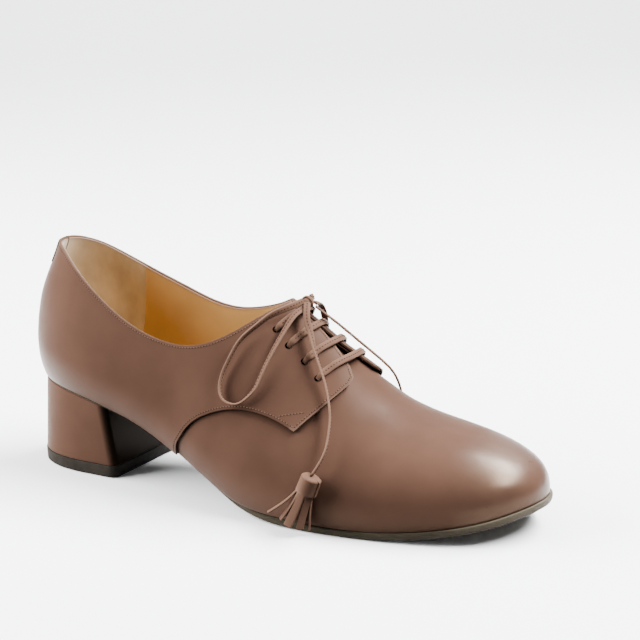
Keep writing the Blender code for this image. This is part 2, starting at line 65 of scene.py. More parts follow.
# Last and upper
LENGTH = 242.0          # feather edge, back of the heel to the tip of the toe
HEEL_RADIUS = 28.0      # plan radius that the swell and the back's curve work on
SWELL_HEIGHT = 23.0     # height of the fullest place of the wall above the feather edge
BACK_LEAN = 2.8         # how far the top of the back leans in over the heel
WALL = 1.8              # leather and lining together
LEATHER = 1.0           # thickness of the outer leather
FLAP_RISE = 1.3         # step from the vamp up to the quarter that lies over it
FLAP_LIFT = 1.2         # extra stand-off at the flap's free front
SEAM_START = 88.4       # where the quarter's lower edge leaves the sole
FLAP_POINT = 147.0      # lowest corner of the flap, and the front end of the throat
FLAP_FRONT = 158.6
THROAT_TOP = 124.6      # top corner of the facing
VAMP_BACK = 84.0        # back end of the vamp's wings, under the quarters
VAMP_THROAT = 152.0     # vamp's edge between the flaps
UNDERLAP = 7.0          # degrees of climb that the vamp runs on under the quarter
EYELET_RADIUS = 1.6
TONGUE_TOP, TONGUE_FRONT, TONGUE_SPREAD = 126.0, 164.0, 22.0
TONGUE_LEVEL, TONGUE_THICK = -2.2, 1.4
LINING_SEAM = 33.5      # where the heel's suede lining meets the front lining
LINING_SLANT = 6.0      # how far that seam leans forward over the height of the wall
LINING_FRONT = 126.0    # front end of the lining, under the facings
FACING_FRONT = 150.0    # front end of the dark lining behind the eyelets, a painted shade seen through the holes
PALE_FADE = 0.6         # how soon the pale cut edge of facing and flap fades; it is partly a painted highlight of their lit edges
COLLAR_PALE, COLLAR_FADE = 0.45, 0.25                  # strength and fade of the collar's paler rim
LOW_POLISH, TOE_POLISH = 0.2, 0.62                     # gloss low on the walls and at the toe
FAR_OFF = 99.0          # distance at which no edge paint is left

# Bottom
SOLE_THICK, WAIST_THICK = 3.2, 1.1
SEAT_THICK = 0.8        # sole under the heel seat
INSOLE_THICK = 2.0
TOP_PIECE = 5.4
HEEL_BACK, HEEL_BREAST, HEEL_HALF = 1.0, 51.2, 26.3    # heel outline on the floor
HEEL_ROUND, HEEL_POWER = 34.0, 2.3                     # length and squareness of its rounded back
BREAST_TOP = 47.0
BREAST_CORNER = 3.8     # radius of the upright corners at the breast
GAP = 0.3
BLOCK_PLACES = 40       # places along the heel's half outline
OUTLINE_STEP = 0.01     # step that the outline's slope is read with
SOCK_INSET = -0.9       # lower edge of the insole from the sole's outline

# Lace
BAR_BOW = 4.6           # how far a bar bends forward at the ridge
KNOT_PLACE = (130.0, 90.0, 6.0)                        # x, climb and clearance of its middle
SLEEVE_RADIUS, SLEEVE_TALL, SLEEVE_TILT = 4.3, 7.6, 20.0
CORD_RADIUS = 1.0
SLEEVE_SHOULDER, SHOULDER_DROP = 0.35, 1.1             # share of the grid and height of its round shoulder

# Camera and stage; the sweep and the lamps are in metres
CAMERA_AZIMUTH, CAMERA_ELEVATION, CAMERA_DISTANCE = 31.1, 16.3, 852.0
CAMERA_MIDDLE, CAMERA_SHIFT = (114.0, 0.0, 47.9), (23.1, 25.8)
CAMERA_LENS = 110.96
SWEEP_WIDE, SWEEP_LONG, SWEEP_FRONT = 8.0, 7.0, 0.35
SWEEP_FLAT, SWEEP_BEND = 1.5, 1.6
# Name, place, aim, width, depth, share of the lamp power and whether the leather mirrors it
LAMPS = (
    ("key_lamp", (0.54, 0.42, 1.00), (0.09, 0.0, 0.03), 1.4, 0.35, 1.0, True),
    ("overhead_lamp", (-0.20, 0.38, 1.70), (0.0, 0.0, 0.0), 3.0, 2.0, 0.45, True),
    ("heel_lamp", (-0.80, -0.38, 0.36), (-0.08, 0.0, 0.06), 1.0, 0.8, 0.58, False),
    ("backdrop_lamp", (-0.83, 1.37, 1.40), (-1.34, 2.20, 0.20), 2.6, 0.8, 0.8, True),
)


def table(columns, *rows):
    """Named columns of a table that has one row for each section or point."""
    return {name: np.array([row[k] for row in rows], float) for k, name in enumerate(columns)}


# centre: middle of the sole, half: half its width, feather: height of its edge, rise: ridge above the edge,
# lean: shift of the ridge to the inner side, swell: bulge of the walls, full: squareness of the section
LAST = table(
    ("x", "centre", "half", "feather", "rise", "lean", "swell", "full"),
    (0, 0.0, 0.0, 39.8, 85.0, 0.0, 4.0, 2.0),
    (12, 0.0, 19.5, 39.2, 86.0, 0.0, 4.0, 2.0),
    (28, 0.0, 26.4, 37.6, 88.0, 0.0, 4.8, 2.0),
    (46, -0.3, 28.6, 34.5, 89.7, 0.0, 5.2, 2.0),
    (68, -1.7, 28.2, 28.5, 88.5, 2.0, 4.8, 2.0),
    (95, -3.6, 28.9, 16.4, 87.4, 4.0, 4.0, 1.92),
    (120, -4.2, 34.2, 6.1, 80.8, 5.0, 3.2, 1.76),
    (146, -2.0, 39.8, 3.8, 64.0, 5.0, 2.1, 1.66),
    (169, 1.0, 41.3, 3.2, 44.7, 4.2, 1.6, 2.1),
    (193, 3.2, 39.0, 4.4, 34.4, 3.2, 1.0, 2.45),
    (213, 4.8, 33.8, 7.1, 27.9, 2.1, 0.5, 2.55),
    (229.5, 5.8, 25.0, 10.8, 19.1, 1.0, 0.0, 2.6),
    (237.5, 6.3, 15.2, 13.2, 12.0, 0.5, 0.0, 2.6),
    (242, 6.4, 0.0, 14.8, 0.0, 0.0, 0.0, 2.6),
)
# Height of the collar's edge above the floor on the two sides
TOPLINE = table(
    ("x", "outer", "inner"),
    (0, 100.2, 100.2),
    (12, 99.4, 96.0),
    (24, 95.4, 90.2),
    (40, 86.6, 82.6),
    (56, 76.9, 76.8),
    (70, 70.6, 72.8),
    (86, 67.1, 71.6),
    (100, 68.6, 74.2),
    (112, 74.5, 78.4),
    (120, 80.3, 82.0),
    (124.6, 83.5, 83.5),
)
# Climb of the quarter's edge over the vamp: from the sole to the flap's point, then up the flap's front
SEAM = table(
    ("x", "climb"),
    (88.4, 0.0), (89.3, 3.0), (91.3, 6.4), (95.2, 11.4), (100.4, 17.1), (106.6, 22.4), (117, 29.8),
    (131.4, 36.2), (140.5, 37.6), (147, 37.5),
)
FLAP_EDGE = table(
    ("x", "climb"),
    (147, 37.5), (151.8, 46.0), (154.8, 53.2), (156.5, 59.2), (157.9, 66.0), (158.6, 71.5),
)
# Distance of the facing's edge from the ridge
THROAT = table(
    ("x", "half_gap"),
    (124.6, 0.9), (130, 1.1), (136, 1.4), (141.2, 2.1), (146, 3.5), (149.2, 4.7), (153, 6.3), (155.8, 7.7),
    (157.4, 8.9), (158.3, 10.7), (158.6, 13.0),
)
EYELETS = table(
    ("x", "climb"),
    (126.5, 66.0), (133.2, 63.8), (141, 63.0), (148.2, 61.2),
)
# Routes of the bow: x, climb, clearance from the last's skin and the roll of the flat lace from lying flat
LOOP = table(
    ("x", "climb", "clear", "roll"),
    (129.2, 85.2, 7.0, 25), (127.9, 78.8, 7.1, 28), (125.8, 73.2, 6.8, 37), (122.8, 67.0, 6.2, 57),
    (119.5, 59.2, 5.6, 75), (115.8, 51.2, 5.0, 81), (113.8, 43.9, 4.5, 84), (112.2, 36.6, 4.0, 90),
    (112.5, 33.1, 3.9, 100), (114.5, 31.4, 3.9, 104), (118.5, 32.2, 3.9, 88), (121.5, 33.8, 3.9, 72),
    (124.5, 37.2, 3.9, 58), (126.8, 41.2, 4.0, 54), (127.8, 46.2, 4.3, 54), (128.5, 52.0, 4.8, 53),
    (129.2, 58.5, 5.4, 52), (129.8, 66.5, 6.2, 46), (130.2, 75.4, 6.6, 28), (131.4, 85.2, 6.4, 4),
)
END_OUTER = table(
    ("x", "climb", "clear", "roll"),
    (130.8, 85.2, 8.0, -14), (133.0, 79.6, 7.9, -13), (135.4, 75.6, 7.3, -10), (137.7, 73.4, 6.8, 8),
    (141.2, 69.2, 6.4, 42), (145.2, 65.2, 6.2, 62), (149.0, 62.0, 6.1, 67), (152.2, 59.2, 6.0, 72),
    (155.4, 55.6, 5.7, 77), (158.0, 52.0, 5.4, 82), (159.8, 48.6, 5.0, 88), (161.4, 43.8, 4.9, 92),
    (162.9, 36.6, 5.2, 98), (162.5, 29.8, 5.8, 100), (161.2, 24.8, 6.6, 99),
)
END_INNER = table(
    ("x", "climb", "clear", "roll"),
    (133.0, 92.0, 6.2, 15), (137.0, 95.0, 5.8, 9), (141.0, 99.0, 5.6, 3), (145.0, 102.8, 5.5, -1),
    (149.0, 106.2, 5.5, -3), (153.0, 109.8, 5.5, -6), (156.2, 113.4, 5.4, -10), (158.2, 118.0, 5.2, -19),
    (159.2, 124.0, 5.0, -34), (159.6, 131.0, 4.9, -49), (159.6, 138.0, 4.9, -61), (159.2, 144.6, 5.2, -70),
    (158.4, 151.0, 6.1, -76), (157.2, 156.4, 7.0, -80),
)
ENDS = {"lateral": END_OUTER, "medial": END_INNER}
# Soft creases of the upper: place, slant from the length in degrees, half length, half width and height
CREASES = table(
    ("x", "climb", "slant", "long", "wide", "height"),
    (112, 40.0, 82, 16, 4.0, -0.25),
    (119, 44.0, 80, 17, 4.0, 0.22),
    (140, 48.0, 70, 12, 3.0, -0.16),
    (171, 62.0, 100, 20, 5.0, -0.20),
    (180, 60.0, 98, 22, 6.0, 0.14),
    (112, 140.0, 98, 16, 4.0, -0.25),
    (119, 136.0, 100, 17, 4.0, 0.22),
    (171, 118.0, 80, 20, 5.0, -0.20),
    (103, 12.0, 62, 14, 4.5, 0.30),
    (127, 22.0, 60, 12, 5.0, 0.22),
    (85, 14.0, 60, 14, 5.0, -0.22),
)
# Sections of the edges of sole and insole: growth in plan and share of the thickness from the bottom
SOLE_EDGE = table(
    ("grow", "share"),
    (-2.4, 1.0), (-0.5, 1.0), (-0.12, 0.94), (0.0, 0.8), (0.02, 0.6), (-0.02, 0.4), (-0.12, 0.2),
    (-0.35, 0.06), (-0.8, 0.0), (-4.0, 0.0),
)
SOCK_EDGE = table(
    ("grow", "share"),
    (-7.8, 1.0), (-4.0, 0.98), (-2.8, 0.86), (-1.6, 0.6), (0.0, 0.38), (0.0, 0.0),
)


def from_packed_part():
    """Place of the part's origin in the shoe's own axes, read from the heel's lowest layer."""
    low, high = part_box("top_piece")
    return np.array([HEEL_BACK - low.x / MM, -(low.y + high.y) / 2 / MM, 0.0])


ORIGIN = from_packed_part()


# The last and the lines on it

def spline(xs, ys, at):
    """Smooth curve through the points (natural cubic), read at the given places."""
    at = np.asarray(at, float)
    count, step = len(xs), np.diff(xs)
    matrix, right = np.zeros((count, count)), np.zeros(count)
    matrix[0, 0] = matrix[-1, -1] = 1.0
    for i in range(1, count - 1):
        matrix[i, i - 1:i + 2] = step[i - 1], 2 * (step[i - 1] + step[i]), step[i]
        right[i] = 6 * ((ys[i + 1] - ys[i]) / step[i] - (ys[i] - ys[i - 1]) / step[i - 1])
    bend = np.linalg.solve(matrix, right)
    i = np.clip(np.searchsorted(xs, at) - 1, 0, count - 2)
    past, left, h = at - xs[i], xs[i + 1] - at, step[i]
    cubic = (bend[i] * left ** 3 + bend[i + 1] * past ** 3) / (6 * h)
    return cubic + (ys[i] / h - bend[i] * h / 6) * left + (ys[i + 1] / h - bend[i + 1] * h / 6) * past


def turn(x):
    """Angle along the length that makes both ends of the sole's outline round."""
    return np.arccos(np.clip(1 - 2 * np.asarray(x, float) / LENGTH, -1, 1))


def size(name, x):
    """One of the last's measures at x."""
    return spline(turn(LAST["x"]), LAST[name], turn(x))


def smooth(x, low, high):
    s = np.clip((np.asarray(x, float) - low) / (high - low), 0, 1)
    return s * s * (3 - 2 * s)


def signed_power(values, power):
    """Power of the values' sizes, with the signs kept."""
    return np.sign(values) * np.abs(values) ** power


def last(x, climb):
    """Point on the last's skin."""
    x, climb = np.broadcast_arrays(np.asarray(x, float), np.radians(np.asarray(climb, float)))
    power = 2 / size("full", x)
    across = signed_power(np.cos(climb), power)
    up = np.abs(np.sin(climb)) ** power
    height = size("rise", x) * up
    bulge = height / SWELL_HEIGHT
    swell = size("swell", x) * bulge * np.exp(1 - bulge) / HEEL_RADIUS
    widen = np.abs(across) + swell * np.sqrt(np.abs(across))
    y = size("centre", x) - np.sign(across) * size("half", x) * widen + size("lean", x) * up ** 2
    near_back = np.clip(1 - x / (1.6 * HEEL_RADIUS), 0, 1) ** 1.5
    z = size("feather", x) + height
    back = (1 - np.abs(across) - swell) * HEEL_RADIUS + BACK_LEAN * smooth(z, 74, 98)
    return np.stack([x + back * near_back, y, z], -1)


def skin_normal(x, climb):
    """Outward direction of the last's skin."""
    x, climb = np.broadcast_arrays(np.asarray(x, float), np.asarray(climb, float))
    step, turn_step = 0.05, 0.2
    inside = np.clip(x, step, LENGTH - step)
    around = np.clip(climb, turn_step, 180 - turn_step)
    along_x = last(inside + step, around) - last(inside - step, around)
    along_climb = last(inside, around + turn_step) - last(inside, around - turn_step)
    normal = np.cross(along_x, along_climb)
    normal[x <= 0, 1] = 0
    normal[x >= LENGTH] = (1, 0, 0)
    return normal / np.linalg.norm(normal, axis=-1, keepdims=True)


def skin(x, climb, level):
    """Point at a distance outside the last's skin (inside it where the level is negative)."""
    level = np.asarray(level, float)
    return last(x, climb) + level[..., None] * skin_normal(x, climb)


def climb_at_height(x, z):
    share = np.clip((z - size("feather", x)) / np.maximum(size("rise", x), 1.0), 0, 1)
    return np.degrees(np.arcsin(share ** (size("full", x) / 2)))


def seam_climb(x):
    """Where the vamp's lower band ends: the quarter's edge, then a line that runs on to the toe."""
    behind = np.where(x <= SEAM_START, 0.0, spline(SEAM["x"], SEAM["climb"], x))
    front = spline(FLAP_EDGE["x"], FLAP_EDGE["climb"], np.clip(x, FLAP_POINT, FLAP_FRONT))
    onward = front - 14 * smooth(x, FLAP_FRONT, LENGTH)
    return np.where(x < FLAP_POINT, np.maximum(behind, 0), onward)


def edge_climb(x, side):
    """Upper edge of the quarter: the collar, then the facing's edge along the throat."""
    gap = spline(THROAT["x"], THROAT["half_gap"], np.clip(x, THROAT_TOP, FLAP_FRONT))
    facing = np.degrees(np.arccos(gap / np.maximum(size("half", x), 12)))
    collar = climb_at_height(x, spline(TOPLINE["x"], TOPLINE[side], np.minimum(x, THROAT_TOP)))
    edge = np.where(x < THROAT_TOP, np.minimum(collar, facing), facing)
    return np.where(x >= FLAP_FRONT, seam_climb(x), edge)


def quarter_level(x):
    return FLAP_RISE * smooth(x, 40, 100) + FLAP_LIFT * smooth(x, 144, FLAP_FRONT - 2)


def creases(x, climb):
    """Soft troughs and ridges of the leather."""
    arc = np.radians(1.0) * 0.75 * (size("half", x) + size("rise", x)) / 2 + 0.35
    total = np.zeros(np.broadcast(x, climb).shape)
    for k in range(len(CREASES["x"])):
        slant = math.radians(CREASES["slant"][k])
        ahead, aside = x - CREASES["x"][k], (climb - CREASES["climb"][k]) * arc
        along = ahead * math.cos(slant) + aside * math.sin(slant)
        across = aside * math.cos(slant) - ahead * math.sin(slant)
        bell = np.exp(-(along / CREASES["long"][k]) ** 2 - (across / CREASES["wide"][k]) ** 2)
        total += CREASES["height"][k] * bell
    return total


def stations(low, high, count):
    """Places along x, closer together towards the round ends."""
    return LENGTH * (1 - np.cos(np.linspace(turn(low), turn(high), count + 1))) / 2


def joined(*runs):
    return np.unique(np.concatenate(runs).round(6))


def tip_stations(low, high, count):
    """Places along x that crowd towards the far end."""
    return low + (high - low) * np.sin(np.linspace(0, math.pi / 2, count + 1))


def plan(x, side, grow):
    """Sole outline, moved outwards in plan; side is -1 outside and 1 inside."""
    step = OUTLINE_STEP
    inner = np.clip(x, 2 * step, LENGTH - 2 * step)
    edge, ahead, behind = (size("centre", at) + side * size("half", at)
                           for at in (x, inner + step, inner - step))
    slope = (ahead - behind) / (2 * step)
    normal = np.stack([-side * slope, np.full_like(slope, side)], -1) / np.hypot(slope, 1)[:, None]
    normal[x <= 0] = (-1, 0)
    normal[x >= LENGTH] = (1, 0)
    grow = np.broadcast_to(grow, x.shape)
    return np.stack([x, edge], -1) + grow[:, None] * normal


def sole_top(x):
    return size("feather", x) - GAP


def sole_bottom(x):
    waist = SEAT_THICK + (WAIST_THICK - SEAT_THICK) * smooth(x, 46, 72)
    thick = waist + (SOLE_THICK - WAIST_THICK) * smooth(x, 100, 146)
    return np.maximum(sole_top(x) - thick, 0.0)


def heel_places(back, breast):
    """Places along the heel, close together at its round back and at the breast's corners."""
    corner = breast - BREAST_CORNER
    run = back + (corner - back) * (1 - np.cos(np.linspace(0, math.pi / 2, BLOCK_PLACES)))
    return np.concatenate([run, corner + BREAST_CORNER * np.sin(np.linspace(0, math.pi / 2, 13)[1:])])


def corner_inset(x, breast):
    """How far the rounded corner at the breast draws the side in."""
    past = np.clip(x - breast + BREAST_CORNER, 0, BREAST_CORNER)
    return BREAST_CORNER - np.sqrt(BREAST_CORNER ** 2 - past ** 2)


def heel_outline(inset):
    """Floor outline of the heel: a rounded back that runs into straight sides, outer side first."""
    x = heel_places(HEEL_BACK, HEEL_BREAST)
    round_part = np.clip(1 - (x - HEEL_BACK) / HEEL_ROUND, 0, 1)
    y = HEEL_HALF * (1 - round_part ** HEEL_POWER) ** (1 / HEEL_POWER) - corner_inset(x, HEEL_BREAST)
    middle = (HEEL_BACK + HEEL_BREAST) / 2
    x = middle + (x - middle) * (1 - 2 * inset / (HEEL_BREAST - HEEL_BACK))
    return x, y * (1 - inset / HEEL_HALF)


# Tools of the bench

def only(item):
    """Make one object the selected and active one."""
    bpy.ops.object.select_all(action="DESELECT")
    item.select_set(True)
    bpy.context.view_layer.objects.active = item


def vertices(item):
    flat = np.empty(len(item.data.vertices) * 3)
    item.data.vertices.foreach_get("co", flat)
    return flat.reshape(-1, 3)


def put_vertices(item, points):
    """Move an object's vertices to places given in the shoe's own millimetres."""
    item.data.vertices.foreach_set("co", ((points - ORIGIN) * MM).ravel())
    item.data.update()


def new_primitive(name, add, **settings):
    """Add one of Blender's mesh primitives and name it."""
    bpy.ops.object.select_all(action="DESELECT")
    add(**settings)
    item = bpy.context.active_object
    item.name = item.data.name = name
    return item


def new_grid(name, columns, rows):
    """Flat unit grid, with the u (along) and v (across) of each vertex."""
    item = new_primitive(name, bpy.ops.mesh.primitive_grid_add, x_subdivisions=columns, y_subdivisions=rows,
                         size=1.0)
    flat = vertices(item)
    return item, flat[:, 0] + 0.5, flat[:, 1] + 0.5


def new_panel(name, x_places, rows):
    """Grid whose columns stand at the given x, with the x and v of each vertex."""
    columns = len(x_places) - 1
    item, u, v = new_grid(name, columns, rows)
    return item, np.interp(u * columns, np.arange(columns + 1), x_places), v


def in_edit_mode(item, *steps):
    """Run edit-mode operators on everything in the mesh, in turn."""
    only(item)
    bpy.ops.object.mode_set(mode="EDIT")
    bpy.ops.mesh.select_mode(type="VERT")
    for step in steps:
        bpy.ops.mesh.select_all(action="SELECT")
        step()
    bpy.ops.object.mode_set(mode="OBJECT")


def weld():
    bpy.ops.mesh.remove_doubles(threshold=0.000005)


def drop_slivers():
    bpy.ops.mesh.dissolve_degenerate(threshold=0.000004)


def close_ends():
    bpy.ops.mesh.fill_holes(sides=0)


def face_out():
    bpy.ops.mesh.normals_make_consistent(inside=False)


def delete_faces(item, chosen):
    """Delete the faces whose index is marked in the array."""
    only(item)
    bpy.ops.object.mode_set(mode="EDIT")
    bpy.ops.mesh.select_mode(type="FACE")
    bpy.ops.object.mode_set(mode="OBJECT")
    item.data.polygons.foreach_set("select", chosen)
    bpy.ops.object.mode_set(mode="EDIT")
    bpy.ops.mesh.delete(type="FACE")
    bpy.ops.object.mode_set(mode="OBJECT")


def modify(item, kind, **settings):
    """Add a modifier, set it and apply it."""
    only(item)
    modifier = item.modifiers.new(kind.title(), kind)
    for name, value in settings.items():
        setattr(modifier, name, value)
    bpy.ops.object.modifier_apply(modifier=modifier.name)


def thicken(item, thick, rim=0, inner=0):
    modify(item, "SOLIDIFY", thickness=thick * MM, offset=-1.0, use_even_offset=True,
           use_quality_normals=True, material_offset_rim=rim, material_offset=inner)


def round_edges(item, width, segments=2, angle=50):
    modify(item, "BEVEL", width=width * MM, segments=segments, limit_method="ANGLE",
           angle_limit=math.radians(angle), harden_normals=False)


def shade(item, angle=45):
    only(item)
    bpy.ops.object.shade_smooth_by_angle(angle=math.radians(angle))


def leather_sheet(item, thick, rounding, rim=0, inner=0):
    """Give a skin its thickness and rounded edges."""
    thicken(item, thick, rim, inner)
    round_edges(item, rounding)
    shade(item)


def paint(item, name, values):
    """Store one number for each vertex, for a material to read."""
    layer = item.data.attributes.new(name, "FLOAT", "POINT")
    layer.data.foreach_set("value", np.full(len(item.data.vertices), values, np.float32))


def dress(item, slot, *materials):
    """Give a piece its materials and body; the slot is not used."""
    for material in materials:
        item.data.materials.append(material)
    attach(item, BODY)


def run_of(points):
    """Distance along a line of points."""
    return np.concatenate([[0], np.cumsum(np.linalg.norm(np.diff(points, axis=0), axis=1))])


def read_line(at, run, line):
    """Points or directions of a line at distances along it."""
    return np.stack([np.interp(at, run, line[:, k]) for k in range(3)], -1)


def placed(points, place):
    """Points given in a 4 x 4 place, in the shoe's own axes."""
    return np.column_stack([points, np.ones(len(points))]) @ place.T[:, :3]


def unit(vectors):
    return vectors / np.maximum(np.linalg.norm(vectors, axis=-1, keepdims=True), 1e-9)


def copies(name, shapes, places):
    """One mesh of many copies: shapes are (points, faces, material number), places are 4 x 4 arrays."""
    points, faces, numbers, start = [], [], [], 0
    for shape_points, shape_faces, number in shapes:
        solid = np.column_stack([shape_points, np.ones(len(shape_points))])
        for place in places:
            points.append((solid @ place.T)[:, :3])
            faces.extend(tuple(k + start for k in face) for face in shape_faces)
            numbers.extend([number] * len(shape_faces))
            start += len(shape_points)
    mesh = bpy.data.meshes.new(name)
    mesh.from_pydata(((np.concatenate(points) - ORIGIN) * MM).tolist(), [], faces)
    mesh.polygons.foreach_set("material_index", numbers)
    mesh.shade_smooth()
    item = bpy.data.objects.new(name, mesh)
    bpy.context.scene.collection.objects.link(item)
    return item


def bead(long, wide, tall, around=8, along=5):
    """Closed bead shape on the origin: points and faces of a small rounded thread or plug."""
    points, faces = [(-long / 2, 0, 0)], []
    for i in range(1, along):
        share = math.pi * i / along
        for j in range(around):
            angle = 2 * math.pi * j / around
            swell = math.sin(share) ** 0.6
            points.append((-long / 2 * math.cos(share), wide / 2 * swell * math.cos(angle),
                           tall / 2 * swell * math.sin(angle)))
    points.append((long / 2, 0, 0))
    final = len(points) - 1
    for j in range(around):
        following = (j + 1) % around
        faces.append((0, 1 + following, 1 + j))
        for i in range(along - 2):
            low = 1 + i * around
            faces.append((low + j, low + following, low + around + following, low + around + j))
        faces.append((final, final - around + j, final - around + following))
    return np.array(points), faces


def frame_on(point, along, up):
    """4 x 4 place with its x along a line and its z away from a surface."""
    along = unit(along - np.dot(along, up) * up)
    place = np.eye(4)
    place[:3, 0], place[:3, 1], place[:3, 2], place[:3, 3] = along, np.cross(up, along), up, point
    return place


def add_strap(name, points, ups, width, thick, around=12):
    """Flat strap with rounded edges along a line; ups point away from its flat face."""
    count = len(points)
    item, u, v = new_grid(name, count - 1, around)
    k = np.rint(u * (count - 1)).astype(int)
    ahead = unit(np.gradient(points, axis=0))
    side = unit(np.cross(ups, ahead))
    face = np.cross(ahead, side)
    angle = 2 * np.pi * v
    squared, flat = signed_power(np.cos(angle), 0.55), signed_power(np.sin(angle), 0.75)
    width, thick = np.broadcast_to(width, count), np.broadcast_to(thick, count)
    offset = (width[k] / 2 * squared)[:, None] * side[k] + (thick[k] / 2 * flat)[:, None] * face[k]
    put_vertices(item, points[k] + offset)
    # Paler side edges of the strap: on the folded laces and the knot's band a painted highlight of their
    # rounded edges, on the tassel's strips their pale cut edges.
    paint(item, "edge", np.abs(squared) ** 4)
    in_edit_mode(item, weld, close_ends, face_out)
    shade(item, 60)
    return item


# Materials

def new_material(name, roughness, specular, sheen=0.0):
    material = bpy.data.materials.new(name)
    material.use_nodes = True
    shader = material.node_tree.nodes["Principled BSDF"]
    shader.inputs["Roughness"].default_value = roughness
    shader.inputs["Sheen Weight"].default_value = sheen
    shader.inputs["Specular IOR Level"].default_value = specular
    return material, material.node_tree, shader


def add_node(tree, kind, inputs=(), **settings):
    node = tree.nodes.new(kind)
    for name, value in settings.items():
        setattr(node, name, value)
    for name, value in dict(inputs).items():
        if isinstance(value, bpy.types.NodeSocket):
            tree.links.new(value, node.inputs[name])
        else:
            node.inputs[name].default_value = value
    return node


def noise(tree, scale, detail=3.0, stretch=(1, 1, 1)):
    """Soft random pattern on the object's own coordinates, scale in waves per metre."""
    place = add_node(tree, "ShaderNodeTexCoord")
    mapping = add_node(tree, "ShaderNodeMapping", {"Vector": place.outputs["Object"], "Scale": stretch})
    return add_node(tree, "ShaderNodeTexNoise", {"Vector": mapping.outputs["Vector"], "Scale": scale,
                                                 "Detail": detail}).outputs["Fac"]


def ramp(tree, factor, low, high, from_low=0.35, from_high=0.65):
    """Colour that goes from low to high as a pattern rises."""
    node = add_node(tree, "ShaderNodeValToRGB", {"Fac": factor})
    node.color_ramp.elements[0].position = from_low
    node.color_ramp.elements[1].position = from_high
    node.color_ramp.elements[0].color = (*low, 1.0)
    node.color_ramp.elements[1].color = (*high, 1.0)
    return node.outputs["Color"]


def blend(tree, factor, first, second):
    node = add_node(tree, "ShaderNodeMix", data_type="RGBA")
    for socket, value in ((node.inputs[0], factor), (node.inputs[6], first), (node.inputs[7], second)):
        if isinstance(value, bpy.types.NodeSocket):
            tree.links.new(value, socket)
        else:
            socket.default_value = value
    return node.outputs[2]


def spread(tree, factor, low, high):
    """Number that goes from low to high as a pattern rises."""
    return add_node(tree, "ShaderNodeMapRange", {"Value": factor, "From Min": 0.3, "From Max": 0.7,
                                                 "To Min": low, "To Max": high}).outputs["Result"]


def bump(tree, height, strength, distance, under=None):
    inputs = {"Height": height, "Strength": strength, "Distance": distance * MM}
    if under:
        inputs["Normal"] = under
    return add_node(tree, "ShaderNodeBump", inputs).outputs["Normal"]


def painted(tree, name):
    return add_node(tree, "ShaderNodeAttribute", attribute_name=name).outputs["Fac"]


def shades(colour, spread_by):
    """A darker and a lighter neighbour of a colour."""
    return [tuple(channel * (1 + sign * spread_by) for channel in colour[:3]) for sign in (-1, 1)]


def feed(tree, shader, outputs):
    """Link nodes to the shader's inputs."""
    for name, output in outputs.items():
        tree.links.new(output, shader.inputs[name])


def leather(name, colour, edge_colour, roughness, worn):
    """Smooth calf: cloudy colour, fine grain, the edge colour where the edge attribute is painted (pale cut
    edges, painted highlights and painted shade) and more gloss where polished.
    """
    specular, polished_specular = 0.016, 0.36
    material, tree, shader = new_material(name, roughness, specular)
    shader.inputs["Specular Tint"].default_value = (1.0, 0.72, 0.50, 1.0)
    dark, light = shades(colour, 0.07)
    cloudy = ramp(tree, noise(tree, 55, 4), dark, light)
    # Edge colour mixed in by the painted edge attribute: pale cut edges, and painted highlight and painted
    # shade where a piece paints them.
    edge = add_node(tree, "ShaderNodeMath", {0: painted(tree, "edge"), 1: worn}, operation="MULTIPLY")
    coloured = blend(tree, edge.outputs[0], cloudy, (*edge_colour, 1.0))
    polish = painted(tree, "polish")
    uneven = spread(tree, noise(tree, 160, 3), roughness - 0.04, roughness + 0.04)
    smoothed = add_node(tree, "ShaderNodeMath", {0: polish, 1: -0.08, 2: uneven}, operation="MULTIPLY_ADD")
    gloss = add_node(tree, "ShaderNodeMapRange",
                     {"Value": polish, "To Min": specular, "To Max": polished_specular})
    uneven_skin = bump(tree, noise(tree, 38, 2), 0.25, 0.5)
    grain = bump(tree, noise(tree, 620, 2), 0.12, 0.05, uneven_skin)
    feed(tree, shader, {"Base Color": coloured, "Roughness": smoothed.outputs[0],
                        "Specular IOR Level": gloss.outputs["Result"], "Normal": grain})
    return material


def suede(name, colour, edge_colour):
    """Napped lining: blotches where the nap is brushed and a fine fuzzy relief."""
    material, tree, shader = new_material(name, 0.92, 0.2, sheen=0.35)
    dark, light = shades(colour, 0.2)
    brushed = ramp(tree, noise(tree, 90, 5, (1.0, 1.0, 0.6)), dark, light)
    coloured = blend(tree, painted(tree, "edge"), brushed, (*edge_colour, 1.0))
    feed(tree, shader, {"Base Color": coloured, "Normal": bump(tree, noise(tree, 2600, 4), 0.35, 0.15)})
    return material


def sole_stuff(name, colour, wear_and_highlight_colour, roughness, streak):
    """Sole edge or rubber: streaks along the edge, a paler toe that is wear and a painted highlight, and a
    fine matt relief.
    """
    material, tree, shader = new_material(name, roughness, 0.1)
    dark, light = shades(colour, 0.3)
    streaks = ramp(tree, noise(tree, 60, 5, (1.0, 1.0, streak)), dark, light)
    coloured = blend(tree, painted(tree, "worn"), streaks, (*wear_and_highlight_colour, 1.0))
    uneven = spread(tree, noise(tree, 300, 3), roughness - 0.08, roughness + 0.1)
    relief = bump(tree, noise(tree, 900, 4, (1.0, 1.0, streak)), 0.3, 0.12)
    feed(tree, shader, {"Base Color": coloured, "Roughness": uneven, "Normal": relief})
    return material


def thread(name, colour):
    material, tree, shader = new_material(name, 0.9, 0.05)
    dark, light = shades(colour, 0.2)
    feed(tree, shader, {"Base Color": ramp(tree, noise(tree, 4000, 2), dark, light)})
    return material
